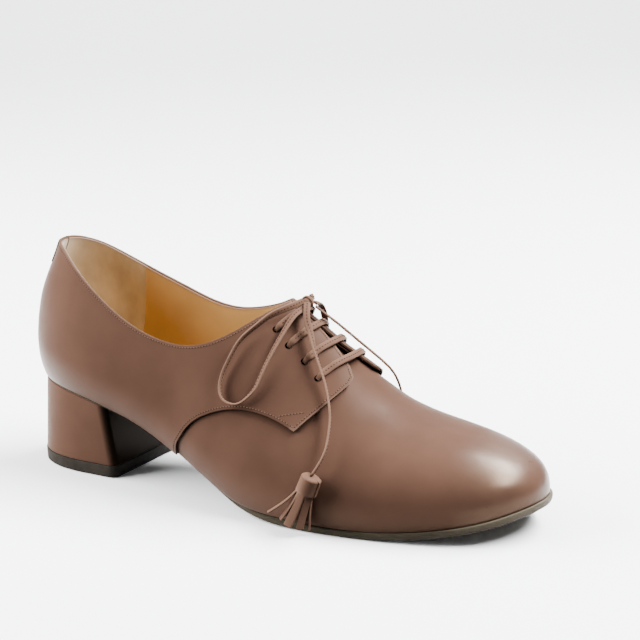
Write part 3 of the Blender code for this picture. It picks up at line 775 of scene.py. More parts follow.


# Maker of each material, its colours in the panel, and roughness with the share of the painted edge colour
# (wear, pale cut edges, painted highlight and painted shade) or of the streaks
RECIPES = {
    "upper_leather": (leather, ("upper", "cut_edge"), (0.36, 0.75)),
    "vamp_leather": (leather, ("upper", "breast"), (0.36, 0.85)),
    "heel_leather": (leather, ("upper", "breast"), (0.36, 1.0)),
    "lace_leather": (leather, ("lace", "lace_edge_and_highlight"), (0.5, 0.5)),
    "cut_edge": (leather, ("breast", "cut_edge"), (0.6, 1.0)),
    "tan_lining": (leather, ("lining", "rim"), (0.55, 1.0)),
    "heel_suede": (suede, ("suede", "rim"), ()),
    "sole_edge": (sole_stuff, ("sole", "sole_toe_wear_and_highlight"), (0.5, 6.0)),
    "top_piece_rubber": (sole_stuff, ("rubber", "rubber"), (0.68, 1.0)),
    "thread": (thread, ("thread",), ()),
    "needle_hole": (thread, ("hole",), ()),
}
FINISHES = {}


def finish(name):
    """A material of the shoe, made on its first use from the colours in the panel."""
    if name not in FINISHES:
        maker, colours, numbers = RECIPES[name]
        chosen = [getattr(bpy.context.scene.shoe_colours, colour) for colour in colours]
        FINISHES[name] = maker(name, *chosen, *numbers)
    return FINISHES[name]


# Panels of the upper

def outward(climb, side):
    return climb if side == "outer" else 180 - climb


def rising(v, side):
    """Share of the way up a panel, whose grid runs the other way on the inner side."""
    return v if side == "outer" else 1 - v


def arc_scale(x):
    """Millimetres for each degree of climb, about."""
    return np.radians(1.0) * (size("half", x) + size("rise", x)) / 2


def low_polish(x, climb):
    """Glossier low part of the walls, above the sole."""
    height = last(x, climb)[..., 2] - size("feather", x)
    return LOW_POLISH * (1 - smooth(height, 4, 18))


def back_seam(x):
    """Small groove where the two quarters meet at the back."""
    return -0.45 * np.exp(-(turn(x) / 0.035) ** 2)


def add_quarter(side_name):
    side = SIDES[side_name]
    bend_end = 104.5
    x_places = joined(stations(0, SEAM_START, 64), stations(SEAM_START, bend_end, 26),
                      stations(bend_end, FLAP_POINT, 42), tip_stations(FLAP_POINT, FLAP_FRONT, 24))
    item, x, v = new_panel("quarter_" + side_name, x_places, 64)
    low, high = seam_climb(x), edge_climb(x, side)
    own = low + (high - low) * rising(v, side)
    climb = outward(own, side)
    put_vertices(item, skin(x, climb, quarter_level(x) + creases(x, climb) + back_seam(x)))
    # Paler edge along the facing and the flap's front: a pale cut edge, partly a painted highlight of their
    # lit edges; the seam's rim keeps the dark base colour of the cut edge material, partly a painted shadow
    # under the quarter's edge.
    below, above = (own - low) * arc_scale(x), (high - own) * arc_scale(x)
    below = np.where(x > FLAP_POINT - 2, below, FAR_OFF)
    on_facing = x > THROAT_TOP - 2
    pale = np.exp(-np.minimum(below, np.where(on_facing, above, FAR_OFF)) / PALE_FADE)
    collar_rim = np.where(on_facing, 0.0, COLLAR_PALE * np.exp(-above / COLLAR_FADE))
    paint(item, "edge", np.maximum(pale, collar_rim))
    paint(item, "polish", low_polish(x, climb))
    in_edit_mode(item, weld, drop_slivers)
    dress(item, "upper_leather", finish("upper_leather"), finish("cut_edge"))
    thicken(item, LEATHER, rim=1)
    round_edges(item, 0.3)
    punch_eyelets(item, side)
    shade(item)
    return item


def punch_eyelets(item, side):
    """Cut the round lace holes square to the leather."""
    bpy.ops.object.select_all(action="DESELECT")
    cutters = []
    for x, climb in zip(EYELETS["x"], outward(EYELETS["climb"], side)):
        middle = (skin(x, climb, 1.0) - ORIGIN) * MM
        turned = Vector(skin_normal(x, climb)).to_track_quat("Z", "Y")
        bpy.ops.mesh.primitive_cylinder_add(vertices=28, radius=EYELET_RADIUS * MM, depth=12 * MM,
                                            location=middle, rotation=turned.to_euler())
        cutters.append(bpy.context.active_object)
    for cutter in cutters:
        cutter.select_set(True)
    bpy.ops.object.join()
    cutter = bpy.context.active_object
    modify(item, "BOOLEAN", operation="DIFFERENCE", object=cutter)
    bpy.data.objects.remove(cutter, do_unlink=True)


def add_vamp():
    x_places = joined(stations(VAMP_BACK, FLAP_POINT, 50), stations(FLAP_POINT, FLAP_FRONT, 14),
                      stations(FLAP_FRONT, LENGTH, 74))
    band, crown = 26, 20
    rows = 2 * (band + crown)
    item, x, v = new_panel("vamp", x_places, rows)
    row = np.rint(v * rows)
    own = np.minimum(row, rows - row)
    top = np.minimum(seam_climb(x) + UNDERLAP, 84.0)
    climb = np.where(own <= band, top * own / band, top + (90 - top) * (own - band) / crown)
    climb = np.where(row <= rows / 2, climb, 180 - climb)
    put_vertices(item, skin(x, climb, creases(x, climb)))
    # Painted shadow: a dark strip on the vamp just under the quarter's edge, where the quarter's step shades
    # it.
    under = (seam_climb(x) - np.minimum(climb, 180 - climb)) * arc_scale(x)
    beside_quarter = 1 - smooth(x, FLAP_POINT, FLAP_FRONT)
    paint(item, "edge", np.exp(-np.maximum(under, 0) ** 2) * beside_quarter)
    paint(item, "polish", np.maximum(TOE_POLISH * smooth(x, 206, 230), low_polish(x, climb)))
    corners = np.array([[polygon.vertices[0], polygon.vertices[2]] for polygon in item.data.polygons])
    face_x, face_row = x[corners].mean(1), own[corners].mean(1)
    delete_faces(item, (face_x < VAMP_THROAT) & (face_row > band))
    in_edit_mode(item, weld, drop_slivers)
    dress(item, "upper_leather", finish("vamp_leather"), finish("cut_edge"), finish("tan_lining"))
    leather_sheet(item, LEATHER, 0.3, rim=1, inner=2)
    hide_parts("upper")


def lining_level(x, below):
    """Outer face of the lining: close behind the quarter at the collar, behind the vamp lower down."""
    close = quarter_level(x) - LEATHER - 0.06
    return close + (-LEATHER - 0.1 - close) * smooth(below, 6, 20)


def add_lining(name, low_x, high_x, side_name, material, sink):
    """Lining inside one quarter, from the insole to just under the collar's edge."""
    side = SIDES[side_name]
    item, x, v = new_panel(name + side_name, stations(low_x, high_x, 60), 48)
    rise = rising(v, side)
    x = x + LINING_SLANT * (rise - 0.75) * np.exp(-((x - LINING_SEAM) / 15) ** 2)
    high = edge_climb(x, side) - 0.2 / arc_scale(x)
    own = 0.5 + (high - 0.5) * rise
    below = (high - own) * arc_scale(x)
    climb = outward(own, side)
    put_vertices(item, skin(x, climb, lining_level(x, below) - sink))
    paint(item, "edge", np.exp(-(below / 0.5) ** 2))
    in_edit_mode(item, weld)
    dress(item, "tan_lining", finish(material))
    leather_sheet(item, WALL - LEATHER - 0.1, 0.2)


def add_tongue():
    item, u, v = new_grid("tongue_leather", 40, 30)
    x = TONGUE_TOP + (TONGUE_FRONT - TONGUE_TOP) * u
    spread_by = TONGUE_SPREAD * (1 - 0.35 * np.abs(2 * u - 1) ** 6)
    climb = 90 + spread_by * (2 * v - 1)
    put_vertices(item, skin(x, climb, np.full_like(x, TONGUE_LEVEL)))
    paint(item, "edge", 0.0)
    dress(item, "upper_leather", finish("upper_leather"), finish("cut_edge"), finish("tan_lining"))
    leather_sheet(item, TONGUE_THICK, 0.4, rim=1, inner=2)
    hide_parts("tongue")


def add_back_strip():
    """Short strip of leather that covers the top of the back seam."""
    item, u, v = new_grid("back_strip", 28, 10)
    half_turn, tall = 0.30, 7.0
    around = half_turn * (2 * u - 1)
    x = LENGTH * (1 - np.cos(around)) / 2
    collar = np.where(around < 0, edge_climb(x, "outer"), edge_climb(x, "inner"))
    own = collar - tall * (1 - v) / arc_scale(x)
    climb = np.where(around < 0, own, 180 - own)
    put_vertices(item, skin(x, climb, np.full_like(x, 0.36)))
    paint(item, "edge", 0.0)
    dress(item, "upper_leather", finish("upper_leather"), finish("cut_edge"))
    in_edit_mode(item, face_out)
    leather_sheet(item, 0.5, 0.12, rim=1)


# Bottom

def add_plate(name, x, grow, top, bottom, edge):
    """Plate with a shaped edge: an edge section carried round the outline, with flat faces between."""
    across = 6
    sides = []
    for side in (-1, 1):
        lines = []
        for out, share in zip(edge["grow"], edge["share"]):
            flat = plan(x, side, grow + out)
            at = np.clip(flat[:, 0], 0, LENGTH)
            lines.append(np.column_stack([flat, bottom(at) + (top(at) - bottom(at)) * share]))
        sides.append(lines)
    outer, inner = sides
    under = [outer[-1] + (inner[-1] - outer[-1]) * k / across for k in range(1, across)]
    over = [inner[0] + (outer[0] - inner[0]) * k / across for k in range(1, across)]
    rings = np.stack([*outer, *under, *inner[::-1], *over, outer[0]], 1)
    item, u, v = new_grid(name, len(x) - 1, rings.shape[1] - 1)
    i = np.rint(u * (len(x) - 1)).astype(int)
    j = np.rint(v * (rings.shape[1] - 1)).astype(int)
    put_vertices(item, rings[i, j])
    in_edit_mode(item, weld, drop_slivers, close_ends, face_out)
    shade(item, 50)
    return item


def add_outsole():
    x = stations(0, LENGTH, 150)
    proud = -0.6 - 0.9 * smooth(x, 50, 75) + 1.9 * smooth(x, 105, 150) + 0.8 * smooth(x, 170, 225)
    item = add_plate("outsole_leather", x, proud, sole_top, sole_bottom, SOLE_EDGE)
    # Paler toe of the sole's edge: wear, and a painted highlight where the toe is lit.
    paint(item, "worn", smooth(vertices(item)[:, 0] / MM + ORIGIN[0], 205, 238))
    dress(item, "sole_edge", finish("sole_edge"))
    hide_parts("outsole")


def sock_base(x):
    return size("feather", x) + GAP


def sock_top(x):
    return sock_base(x) + INSOLE_THICK


def add_sock():
    """Padded insole with a soft edge whose lower part reaches under the lining."""
    item = add_plate("sock", stations(0, LENGTH, 120), SOCK_INSET, sock_top, sock_base, SOCK_EDGE)
    paint(item, "edge", 0.0)
    dress(item, "tan_lining", finish("tan_lining"))
    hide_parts("insole")


def add_block(name, low, high):
    """Upright block between two outlines, from a cylinder whose rims are moved to them."""
    count = len(low)
    item = new_primitive(name, bpy.ops.mesh.primitive_cylinder_add, vertices=count, radius=0.5, depth=1.0)
    flat = vertices(item)
    angle = np.mod(np.arctan2(flat[:, 0], flat[:, 1]), 2 * np.pi)
    k = np.mod(np.rint(angle / (2 * np.pi / count)).astype(int), count)
    put_vertices(item, np.where(flat[:, 2:] < 0, low[k], high[k]))
    in_edit_mode(item, face_out)
    round_edges(item, 0.5, 3, 40)
    return item


def around_heel(x, y, z):
    """Closed outline from the half outline of its outer side."""
    z = np.broadcast_to(z, x.shape)
    outer, inner = np.column_stack([x, -y, z]), np.column_stack([x, y, z])
    return np.concatenate([outer[::-1], inner[1:]])


def add_heel():
    top_x = heel_places(0.0, BREAST_TOP)
    top = []
    for side in (-1, 1):
        flat = plan(top_x, side, -0.7)
        flat[:, 1] -= side * corner_inset(top_x, BREAST_TOP)
        z = sole_bottom(np.clip(flat[:, 0], 0, LENGTH)) - GAP
        top.append(np.column_stack([flat, z]))
    high = np.concatenate([top[0][::-1], top[1][1:]])
    item = add_block("heel_block", around_heel(*heel_outline(0.3), TOP_PIECE + 0.05), high)
    at = vertices(item) / MM + ORIGIN
    breast = np.interp(at[:, 2], [TOP_PIECE, sole_bottom(BREAST_TOP)], [HEEL_BREAST, BREAST_TOP])
    # Painted shade: the heel's breast and its rounded corners take the dark breast colour in place of the
    # shade under the arch.
    paint(item, "edge", smooth(at[:, 0] - breast, -3.0, -0.6))
    shade(item, 35)
    dress(item, "heel_leather", finish("heel_leather"))
    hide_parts("heel")


def add_top_piece():
    item = add_block("heel_top_piece", around_heel(*heel_outline(0.3), 0.0),
                     around_heel(*heel_outline(0.0), TOP_PIECE))
    shade(item, 35)
    dress(item, "top_piece_rubber", finish("top_piece_rubber"))
    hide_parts("top_piece")


# Stitching

def quarter_rows(side):
    """Lines of the quarter's edge as x and climb: collar, facing with the flap's front, and seam."""
    collar_x = stations(0.4, THROAT_TOP - 0.2, 120)
    facing_x = tip_stations(THROAT_TOP + 0.2, FLAP_FRONT, 90)
    front_x = tip_stations(FLAP_POINT, FLAP_FRONT, 60)[::-1]
    seam_x = stations(SEAM_START, FLAP_POINT, 110)[::-1]
    facing = np.concatenate([edge_climb(facing_x, side), seam_climb(front_x)])
    return (
        (collar_x, edge_climb(collar_x, side)),
        (np.concatenate([facing_x, front_x]), facing),
        (seam_x, seam_climb(seam_x)),
    )


def stitch_places(panel, points, normals, inset, pitch, trim):
    """Places of the stitches of a row, moved in from the panel's edge and set on its leather."""
    keep = np.concatenate([[True], np.linalg.norm(np.diff(points, axis=0), axis=1) > 0.02])
    points, normals = points[keep], normals[keep]
    ahead = unit(np.gradient(points, axis=0))
    moved = points + inset * unit(np.cross(ahead, normals))
    run = run_of(moved)
    at = np.arange(trim, run[-1] - trim, pitch)
    line = read_line(at, run, moved)
    places = []
    for point, direction in zip(line, unit(np.gradient(line, axis=0))):
        found, place, normal, _ = panel.closest_point_on_mesh(Vector((point - ORIGIN) * MM))
        if found:
            places.append(frame_on(np.array(place) / MM + ORIGIN, direction, np.array(normal)))
    return places


def add_stitching(side_name, panel, sizes):
    """Rows of stitches inside the quarter's edges, with the small triangle at the flap's point."""
    side = SIDES[side_name]
    sign = 1 if side == "outer" else -1
    pitch, inset = sizes.stitch_pitch / MM, sign * sizes.stitch_inset / MM
    rows = [(x, own, inset, 2.0) for x, own in quarter_rows(side)]
    rows.append((np.linspace(138.8, 149.2, 12), np.linspace(39.2, 46.0, 12), 0.0, 0.4))
    places = []
    for x, own, row_inset, trim in rows:
        climb = outward(own, side)
        points, normals = skin(x, climb, quarter_level(x)), skin_normal(x, climb)
        places += stitch_places(panel, points, normals, row_inset, pitch, trim)
    stitch, faces = bead(0.62 * pitch, 0.42, 0.3)
    stitch[:, 2] += 0.04
    # Dark beads in the needle holes: painted shade.
    hole, hole_faces = bead(0.44, 0.46, 0.1, 6, 4)
    hole[:, 0] += 0.5 * pitch
    item = copies("stitches_" + side_name, [(stitch, faces, 0), (hole, hole_faces, 1)], places)
    dress(item, "upper_leather", finish("thread"), finish("needle_hole"))


# Laces

def lace_stitches(name, points, ups, thick):
    """Row of short stitches down the middle of a lace."""
    pitch = 1.5
    ahead = unit(np.gradient(points, axis=0))
    face = np.cross(ahead, unit(np.cross(ups, ahead)))
    run = run_of(points)
    at = np.arange(1.0, run[-1] - 1.0, pitch)
    on_face, along, up = (read_line(at, run, line) for line in (points + face * thick / 2, ahead, face))
    places = [frame_on(*row) for row in zip(on_face, along, unit(up))]
    # The lace's stitches are drawn in the shadowed needle-hole colour: painted shade.
    item = copies(name, [(*bead(0.75, 0.42, 0.3, 6, 4), 0)], places)
    dress(item, "lace_leather", finish("needle_hole"))
    return item


def rolled_ups(points, normals, roll):
    """Directions off the lace's flat face: the shoe's outward direction, turned about the line."""
    ahead = unit(np.gradient(points, axis=0))
    side = unit(np.cross(normals, ahead))
    up = np.cross(ahead, side)
    angle = np.radians(roll)[:, None]
    return up * np.cos(angle) + side * np.sin(angle)


def bar_line(number):
    """Line of one lace bar: out of an eyelet, over both facings and into the eyelet opposite."""
    x, climb = EYELETS["x"][number], EYELETS["climb"][number]
    share = np.linspace(0, 1, 61)
    around = climb + (180 - 2 * climb) * share
    from_hole = np.minimum(share, 1 - share) * (180 - 2 * climb) * arc_scale(np.array(x))
    lift = -1.3 + 2.0 * smooth(from_hole, -0.6, 2.2) + 0.5 * smooth(from_hole, 5, 11)
    lift = lift + (0.9 * smooth(from_hole, 3, 9) if number == 0 else 0.0)
    place = x + BAR_BOW * np.cos(np.radians(90 * (around - 90) / (90 - climb)))
    level = quarter_level(place + 1.6) + lift
    return skin(place, around, level), skin_normal(place, around), from_hole


def add_lace_bar(number, sizes):
    points, normals, from_hole = bar_line(number)
    width = sizes.lace_width / MM * (0.72 + 0.28 * smooth(from_hole, 0.5, 3.5))
    thick = sizes.lace_thickness / MM
    name = "lace_strap_%d" % (number + 1)
    item = add_strap(name, points, normals, width, thick)
    dress(item, "lace_leather", finish("lace_leather"))
    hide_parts("lace_bar_%d" % (number + 1))
    lace_stitches(name + "_stitches", points[4:-4], normals[4:-4], thick)


def bow_line(rows, mirrored):
    """Route of a lace of the bow with the directions off its flat face."""
    climb = 180 - rows["climb"] if mirrored else rows["climb"]
    roll = -rows["roll"] if mirrored else rows["roll"]
    places = np.column_stack([skin(rows["x"], climb, rows["clear"]), skin_normal(rows["x"], climb), roll])
    run = run_of(places[:, :3])
    at = np.linspace(0, run[-1], int(run[-1] / 1.2) + 1)
    line = np.stack([spline(run, places[:, k], at) for k in range(7)], -1)
    return line[:, :3], rolled_ups(line[:, :3], unit(line[:, 3:6]), line[:, 6])


def add_bow_lace(part, rows, mirrored, sizes, tassel=None):
    name = "bow_" + part
    points, ups = bow_line(rows, mirrored)
    width, thick = sizes.bow_width / MM, sizes.bow_thickness / MM
    item = add_strap(name, points, ups, width, thick)
    dress(item, "lace_leather", finish("lace_leather"))
    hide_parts("lace_" + part)
    seam = lace_stitches(name + "_stitches", points, ups, thick)


def knot_frame():
    """Place of the knot: x along the ridge, y across and z off the shoe."""
    x, climb, clear = KNOT_PLACE
    middle = skin(np.array(x), np.array(climb), np.array(clear))
    along = last(136.0, 90.0) - last(127.0, 90.0)
    return frame_on(middle, along, np.array(skin_normal(x, climb)))


def add_knot():
    """Knot of the bow: a plump crossing held by a band of lace wound over it."""
    place = knot_frame()
    boxy = 0.8
    core = new_primitive("lace_knot_core", bpy.ops.mesh.primitive_uv_sphere_add, segments=32, ring_count=18,
                         radius=0.5)
    put_vertices(core, placed(signed_power(vertices(core) * 2, boxy) * np.array([1.9, 2.5, 1.6]), place))
    paint(core, "edge", 0.0)
    dress(core, "lace_leather", finish("lace_leather"))
    shade(core, 60)
    angle = np.linspace(0, 2 * np.pi, 61)
    forth, upward = signed_power(np.cos(angle), boxy), signed_power(np.sin(angle), boxy)
    points = placed(np.column_stack([2.2 * forth, 0.44 * np.sin(angle), 1.8 * upward]), place)
    band = add_strap("lace_knot_band", points, points - place[:3, 3], 2.6, 1.0)
    dress(band, "lace_leather", finish("lace_leather"))
    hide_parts("lace_knot")


def tassel_frame(end, side_name):
    """Frame on the lace's end: z runs down the tassel, which swings back a little, and y faces outwards."""
    side = -1 if side_name == "lateral" else 1
    tilt = math.radians(SLEEVE_TILT)
    down = unit(np.array([-math.sin(tilt), 0.06 * side, -math.cos(tilt)]))
    across = unit(np.cross([0, side, 0], down))
    place = np.eye(4)
    place[:3, 0], place[:3, 1], place[:3, 2] = across, np.cross(down, across), down
    place[:3, 3] = end + down * (GAP + 0.5 * CORD_RADIUS)
    return place


# Strips of a tassel: turn around the sleeve (90 faces outwards), splay, sideways swing, width and length
STRIPS = table(
    ("turn", "splay", "swing", "wide", "long"),
    (95, 7, -1, 4.0, 15.2), (24, 6, 1, 4.0, 14.8), (140, 12, -2, 2.8, 14.6), (342, 15, 2, 2.4, 15.2),
    (154, 31, -2, 2.4, 16.4), (200, 7, -3, 2.8, 14.4), (245, 3, 0, 3.0, 15.0), (295, 4, 2, 2.8, 15.0),
)


def add_tassel(side_name):
    """Rolled sleeve of leather on the lace's end, with cut strips that spread below it."""
    points, _ = bow_line(ENDS[side_name], False)
    place = tassel_frame(points[-1], side_name)
    item, u, v = new_grid("lace_tassel_" + side_name, 56, 24)
    angle = 2 * np.pi * 1.12 * u - 0.6
    shoulder = np.minimum(v / SLEEVE_SHOULDER, 1) * math.pi / 2
    overlap = 0.4 * smooth(u, 0.86, 0.9) - 0.2 * smooth(u, 0.2, 0.0)
    radius = 0.5 + (SLEEVE_RADIUS * (0.94 + 0.06 * v) + overlap - 0.5) * np.sin(shoulder) ** 0.6
    below = np.clip((v - SLEEVE_SHOULDER) / (1 - SLEEVE_SHOULDER), 0, 1)
    drop = SHOULDER_DROP * (1 - np.cos(shoulder)) + (SLEEVE_TALL - SHOULDER_DROP) * below
    roll = np.column_stack([radius * np.cos(angle), radius * np.sin(angle), drop])
    put_vertices(item, placed(roll, place))
    paint(item, "edge", np.exp(-(1 - v) * SLEEVE_TALL / 0.8))
    in_edit_mode(item, face_out)
    dress(item, "lace_leather", finish("lace_leather"))
    thicken(item, 0.7)
    round_edges(item, 0.2)
    shade(item, 50)
    strips = [add_tassel_strip(place, k) for k in range(len(STRIPS["turn"]))]
    only(item)
    for strip in strips:
        strip.select_set(True)
    bpy.ops.object.join()
    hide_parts("tassel_" + side_name)
    return item


def add_tassel_strip(place, k):
    turned, splay = math.radians(STRIPS["turn"][k]), math.radians(STRIPS["splay"][k])
    swing, long = math.radians(STRIPS["swing"][k]), STRIPS["long"][k]
    out = np.array([math.cos(turned), math.sin(turned), 0.0])
    side = np.array([-math.sin(turned), math.cos(turned), 0.0])
    share = np.linspace(0, 1, 15)
    drop = SLEEVE_TALL - 2.0 + (long + 2.0) * share * math.cos(splay)
    away = SLEEVE_RADIUS - 1.2 + long * math.sin(splay) * share ** 1.3 - 0.4 * np.sin(np.pi * share)
    line = away[:, None] * out + (long * math.sin(swing) * share ** 1.5)[:, None] * side
    line[:, 2] = drop
    points = placed(line, place)
    up = place[:3, :3] @ out
    item = add_strap("tassel_strip", points, np.broadcast_to(up, points.shape), STRIPS["wide"][k], 0.8)
    item.data.materials.append(finish("lace_leather"))
    return item


# Stage

def aim(item, at):
    item.rotation_mode = "QUATERNION"
    item.rotation_quaternion = (Vector(at) - item.location).to_track_quat("-Z", "Y")


def add_camera():
    """Camera at the photograph's angle to the shoe."""
    azimuth, elevation = math.radians(CAMERA_AZIMUTH), math.radians(CAMERA_ELEVATION)
    right = np.array([math.cos(azimuth), math.sin(azimuth), 0.0])
    back = np.array([math.sin(azimuth) * math.cos(elevation), -math.cos(azimuth) * math.cos(elevation),
                     math.sin(elevation)])
    up = np.cross(back, right)
    data = bpy.data.cameras.new("camera")
    camera = bpy.data.objects.new("camera", data)
    bpy.context.scene.collection.objects.link(camera)
    data.sensor_width = 36.0
    data.lens = CAMERA_LENS
    middle = np.array(CAMERA_MIDDLE) - ORIGIN
    camera.location = (middle + CAMERA_DISTANCE * back) * MM
    aim(camera, (middle + CAMERA_SHIFT[0] * right + CAMERA_SHIFT[1] * up) * MM)
    bpy.context.scene.camera = camera


def add_lamp(name, place, at, wide, deep, power, mirrored):
    data = bpy.data.lights.new(name, "AREA")
    data.shape = "RECTANGLE"
    data.size, data.size_y = wide, deep
    data.energy = power
    lamp = bpy.data.objects.new(name, data)
    bpy.context.scene.collection.objects.link(lamp)
    lamp.location = place
    lamp.visible_glossy = mirrored
    aim(lamp, at)


def add_floor(stage):
    """Pale sweep: a floor that curves up into a backdrop; the fill light stands in for its bounce."""
    item, u, v = new_grid("sweep", 8, 60)
    run = (v - SWEEP_FRONT) * SWEEP_LONG
    quarter_turn = SWEEP_BEND * math.pi / 2
    past = np.clip(run - SWEEP_FLAT, 0, quarter_turn)
    beyond = np.clip(run - SWEEP_FLAT - quarter_turn, 0, None)
    y = np.minimum(run, SWEEP_FLAT) + SWEEP_BEND * np.sin(past / SWEEP_BEND)
    z = SWEEP_BEND * (1 - np.cos(past / SWEEP_BEND)) + beyond
    flat = np.column_stack([(u - 0.5) * SWEEP_WIDE, y, z - 0.0002])
    spin = Matrix.Rotation(math.radians(CAMERA_AZIMUTH), 3, "Z")
    put_vertices(item, flat @ np.array(spin).T / MM + ORIGIN)
    shade(item, 60)
    material, _, shader = new_material("sweep", 0.8, 0.1)
    shader.inputs["Base Color"].default_value = (*stage.floor_colour, 1.0)
    item.data.materials.append(material)
    item.visible_diffuse = False


def add_world(strength):
    world = bpy.data.worlds.new("studio")
    bpy.context.scene.world = world
    world.use_nodes = True
    background = world.node_tree.nodes["Background"]
    background.inputs["Color"].default_value = (0.93, 0.96, 1.0, 1.0)
    background.inputs["Strength"].default_value = strength


# Panel properties and operators

def length_property(name, description, default):
    return bpy.props.FloatProperty(name=name, description=description, default=default * MM, unit="LENGTH",
                                   subtype="DISTANCE", precision=5)


def colour_property(name, description, default):
    return bpy.props.FloatVectorProperty(name=name, description=description, default=default, subtype="COLOR",
                                         size=3, min=0.0, max=1.0)


class ShoeSizes(bpy.types.PropertyGroup):
    """Sizes of the trim."""
    stitch_pitch: length_property("Stitch pitch", "Distance from one stitch to the next", 1.35)
    stitch_inset: length_property("Stitch inset", "Distance of a row from the leather's edge", 1.2)
    lace_width: length_property("Lace width", "Width of the flat lace across the facings", 3.2)
    lace_thickness: length_property("Lace thickness", "Thickness of the lace across the facings", 1.4)
    bow_width: length_property("Bow lace width", "Width of the lace in the bow", 2.9)
    bow_thickness: length_property("Bow lace thickness", "Thickness of the lace in the bow", 1.0)


class ShoeColours(bpy.types.PropertyGroup):
    """Colours of the leathers and the bottom."""
    upper: colour_property("Upper", "Taupe-brown leather of the upper and heel", (0.0550, 0.0284, 0.0194))
    lace: colour_property("Lace", "Leather of laces and tassels", (0.086, 0.0465, 0.0320))
    # Paler edges: on the folded laces a painted highlight of their rounded edges, on the tassel the cut edge.
    lace_edge_and_highlight: colour_property("Lace edge", "Paler cut edges of laces and tassels", (0.150, 0.090, 0.063))
    # Pale cut edge; along the facing and the flap's front it is partly a painted highlight of their lit
    # edges.
    cut_edge: colour_property("Cut edge", "Raw cut edge of the leather", (0.125, 0.074, 0.052))
    # Painted shade: this dark colour darkens the heel's breast, the strip of vamp under the quarter's edge
    # and the lining behind the eyelets; on the rims of cut edges it is their dark edge, on the seam's rim
    # also a painted shadow.
    breast: colour_property("Heel breast", "Darker front face of the heel", (0.0150, 0.0088, 0.0058))
    rim: colour_property("Lining edge", "Cut edge of the lining along the collar", (0.135, 0.075, 0.047))
    lining: colour_property("Lining", "Smooth tan lining and sock", (0.335, 0.190, 0.064))
    suede: colour_property("Heel lining", "Napped lining at the heel", (0.345, 0.245, 0.132))
    sole: colour_property("Sole", "Dark stained sole edge", (0.022, 0.0176, 0.0110))
    # Paler toe of the sole's edge: wear, and a painted highlight of the lit toe.
    sole_toe_wear_and_highlight: colour_property("Worn sole", "Paler sole edge at the toe", (0.068, 0.056, 0.039))
    rubber: colour_property("Top piece", "Rubber under the heel", (0.0150, 0.0124, 0.0098))
    thread: colour_property("Thread", "Sewing thread", (0.088, 0.052, 0.037))
    hole: colour_property("Needle holes", "Shadowed needle holes", (0.018, 0.009, 0.0065))


class ShoeStage(bpy.types.PropertyGroup):
    """Floor and light."""
    floor_colour: colour_property("Floor", "Pale floor and backdrop", (0.80, 0.81, 0.81))
    lamp_power: bpy.props.FloatProperty(name="Lamp power", description="Power of the large soft lamp",
                                        default=120.0, min=0.0, unit="POWER")
    sky: bpy.props.FloatProperty(name="Fill", description="Strength of the even fill light", default=0.24,
                                 min=0.0, max=2.0, subtype="FACTOR")


class SHOE_OT_vamp(bpy.types.Operator):
    """Add the vamp, the front panel of the upper"""
    bl_idname = "shoe.vamp"
    bl_label = "Vamp"

    def execute(self, context):
        add_vamp()
        return {"FINISHED"}


class SHOE_OT_quarters(bpy.types.Operator):
    """Add the two quarters with their eyelets and rows of stitches"""
    bl_idname = "shoe.quarters"
    bl_label = "Quarters"

    def execute(self, context):
        for side_name in SIDES:
            panel = add_quarter(side_name)
            add_stitching(side_name, panel, context.scene.shoe_sizes)
        add_back_strip()
        return {"FINISHED"}


class SHOE_OT_lining(bpy.types.Operator):
    """Add the tan lining and the napped heel lining"""
    bl_idname = "shoe.lining"
    bl_label = "Lining"

    def execute(self, context):
        for side_name in SIDES:
            add_lining("heel_lining_", 0.0, LINING_SEAM, side_name, "heel_suede", 0.0)
            add_lining("front_lining_", LINING_SEAM - 0.4, LINING_FRONT, side_name, "tan_lining", 0.15)
            # Painted shade: a dark lining, sunk deeper, behind the eyelets, so that the holes look shaded.
            add_lining("facing_lining_", LINING_FRONT, FACING_FRONT, side_name, "cut_edge", 0.5)
        return {"FINISHED"}


class SHOE_OT_tongue(bpy.types.Operator):
    """Add the tongue under the facings"""
    bl_idname = "shoe.tongue"
    bl_label = "Tongue"

    def execute(self, context):
        add_tongue()
        return {"FINISHED"}


class SHOE_OT_bottom(bpy.types.Operator):
    """Add the sole, the heel, its top piece and the sock inside"""
    bl_idname = "shoe.bottom"
    bl_label = "Sole and heel"

    def execute(self, context):
        add_outsole()
        add_heel()
        add_top_piece()
        add_sock()
        return {"FINISHED"}


class SHOE_OT_lace_bars(bpy.types.Operator):
    """Add the bars of lace across the facings"""
    bl_idname = "shoe.lace_bars"
    bl_label = "Lace bars"

    def execute(self, context):
        for number in range(len(EYELETS["x"])):
            add_lace_bar(number, context.scene.shoe_sizes)
        return {"FINISHED"}


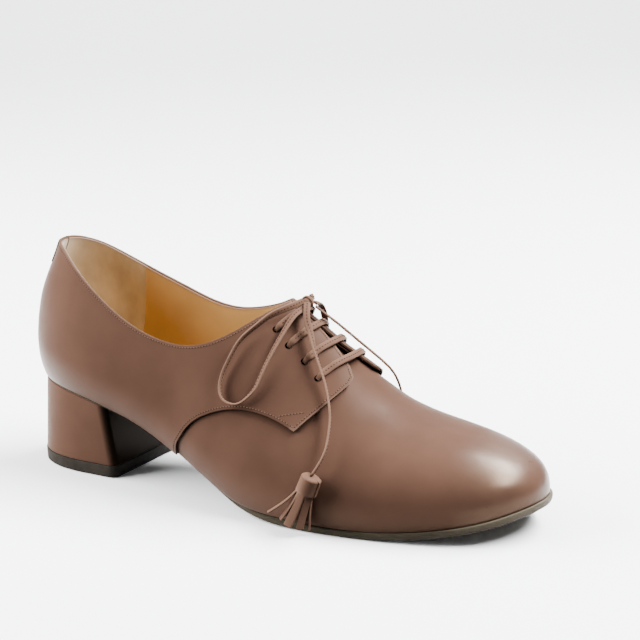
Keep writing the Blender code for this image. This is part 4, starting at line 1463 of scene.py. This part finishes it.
class SHOE_OT_bow(bpy.types.Operator):
    """Add the bow: knot, loops, ends and tassels"""
    bl_idname = "shoe.bow"
    bl_label = "Bow and tassels"

    def execute(self, context):
        sizes = context.scene.shoe_sizes
        add_knot()
        for side_name, rows in ENDS.items():
            mirrored = side_name == "medial"
            add_bow_lace("loop_" + side_name, LOOP, mirrored, sizes)
            add_bow_lace("end_" + side_name, rows, False, sizes, add_tassel(side_name))
        return {"FINISHED"}


class SHOE_OT_stage(bpy.types.Operator):
    """Add the pale floor, the soft lamps and the camera"""
    bl_idname = "shoe.stage"
    bl_label = "Stage"

    def execute(self, context):
        stage = context.scene.shoe_stage
        add_floor(stage)
        add_world(stage.sky)
        for name, place, at, wide, deep, share, mirrored in LAMPS:
            add_lamp(name, place, at, wide, deep, stage.lamp_power * share, mirrored)
        add_camera()
        return {"FINISHED"}


OPERATORS = (SHOE_OT_vamp, SHOE_OT_quarters, SHOE_OT_lining, SHOE_OT_tongue, SHOE_OT_bottom,
             SHOE_OT_lace_bars, SHOE_OT_bow, SHOE_OT_stage)


class SHOE_PT_panel(bpy.types.Panel):
    """Lists the shoe's pieces, sizes and colours"""
    bl_label = "Heeled derby shoe"
    bl_idname = "SHOE_PT_panel"
    bl_space_type = "VIEW_3D"
    bl_region_type = "UI"
    bl_category = "Shoe"

    def draw(self, context):
        for operator in OPERATORS:
            self.layout.operator(operator.bl_idname)
        for group in (context.scene.shoe_sizes, context.scene.shoe_colours, context.scene.shoe_stage):
            for name in group.__annotations__:
                self.layout.prop(group, name)


CLASSES = (ShoeSizes, ShoeColours, ShoeStage, *OPERATORS, SHOE_PT_panel)
GROUPS = {"shoe_sizes": ShoeSizes, "shoe_colours": ShoeColours, "shoe_stage": ShoeStage}


def register():
    for item in CLASSES:
        bpy.utils.register_class(item)
    for name, group in GROUPS.items():
        setattr(bpy.types.Scene, name, bpy.props.PointerProperty(type=group))


def unregister():
    for name in GROUPS:
        delattr(bpy.types.Scene, name)
    for item in reversed(CLASSES):
        bpy.utils.unregister_class(item)


def main():
    register()
    bpy.ops.shoe.vamp()
    bpy.ops.shoe.quarters()
    bpy.ops.shoe.lining()
    bpy.ops.shoe.tongue()
    bpy.ops.shoe.bottom()
    bpy.ops.shoe.lace_bars()
    bpy.ops.shoe.bow()
    bpy.ops.shoe.stage()


if __name__ == "__main__":
    main()
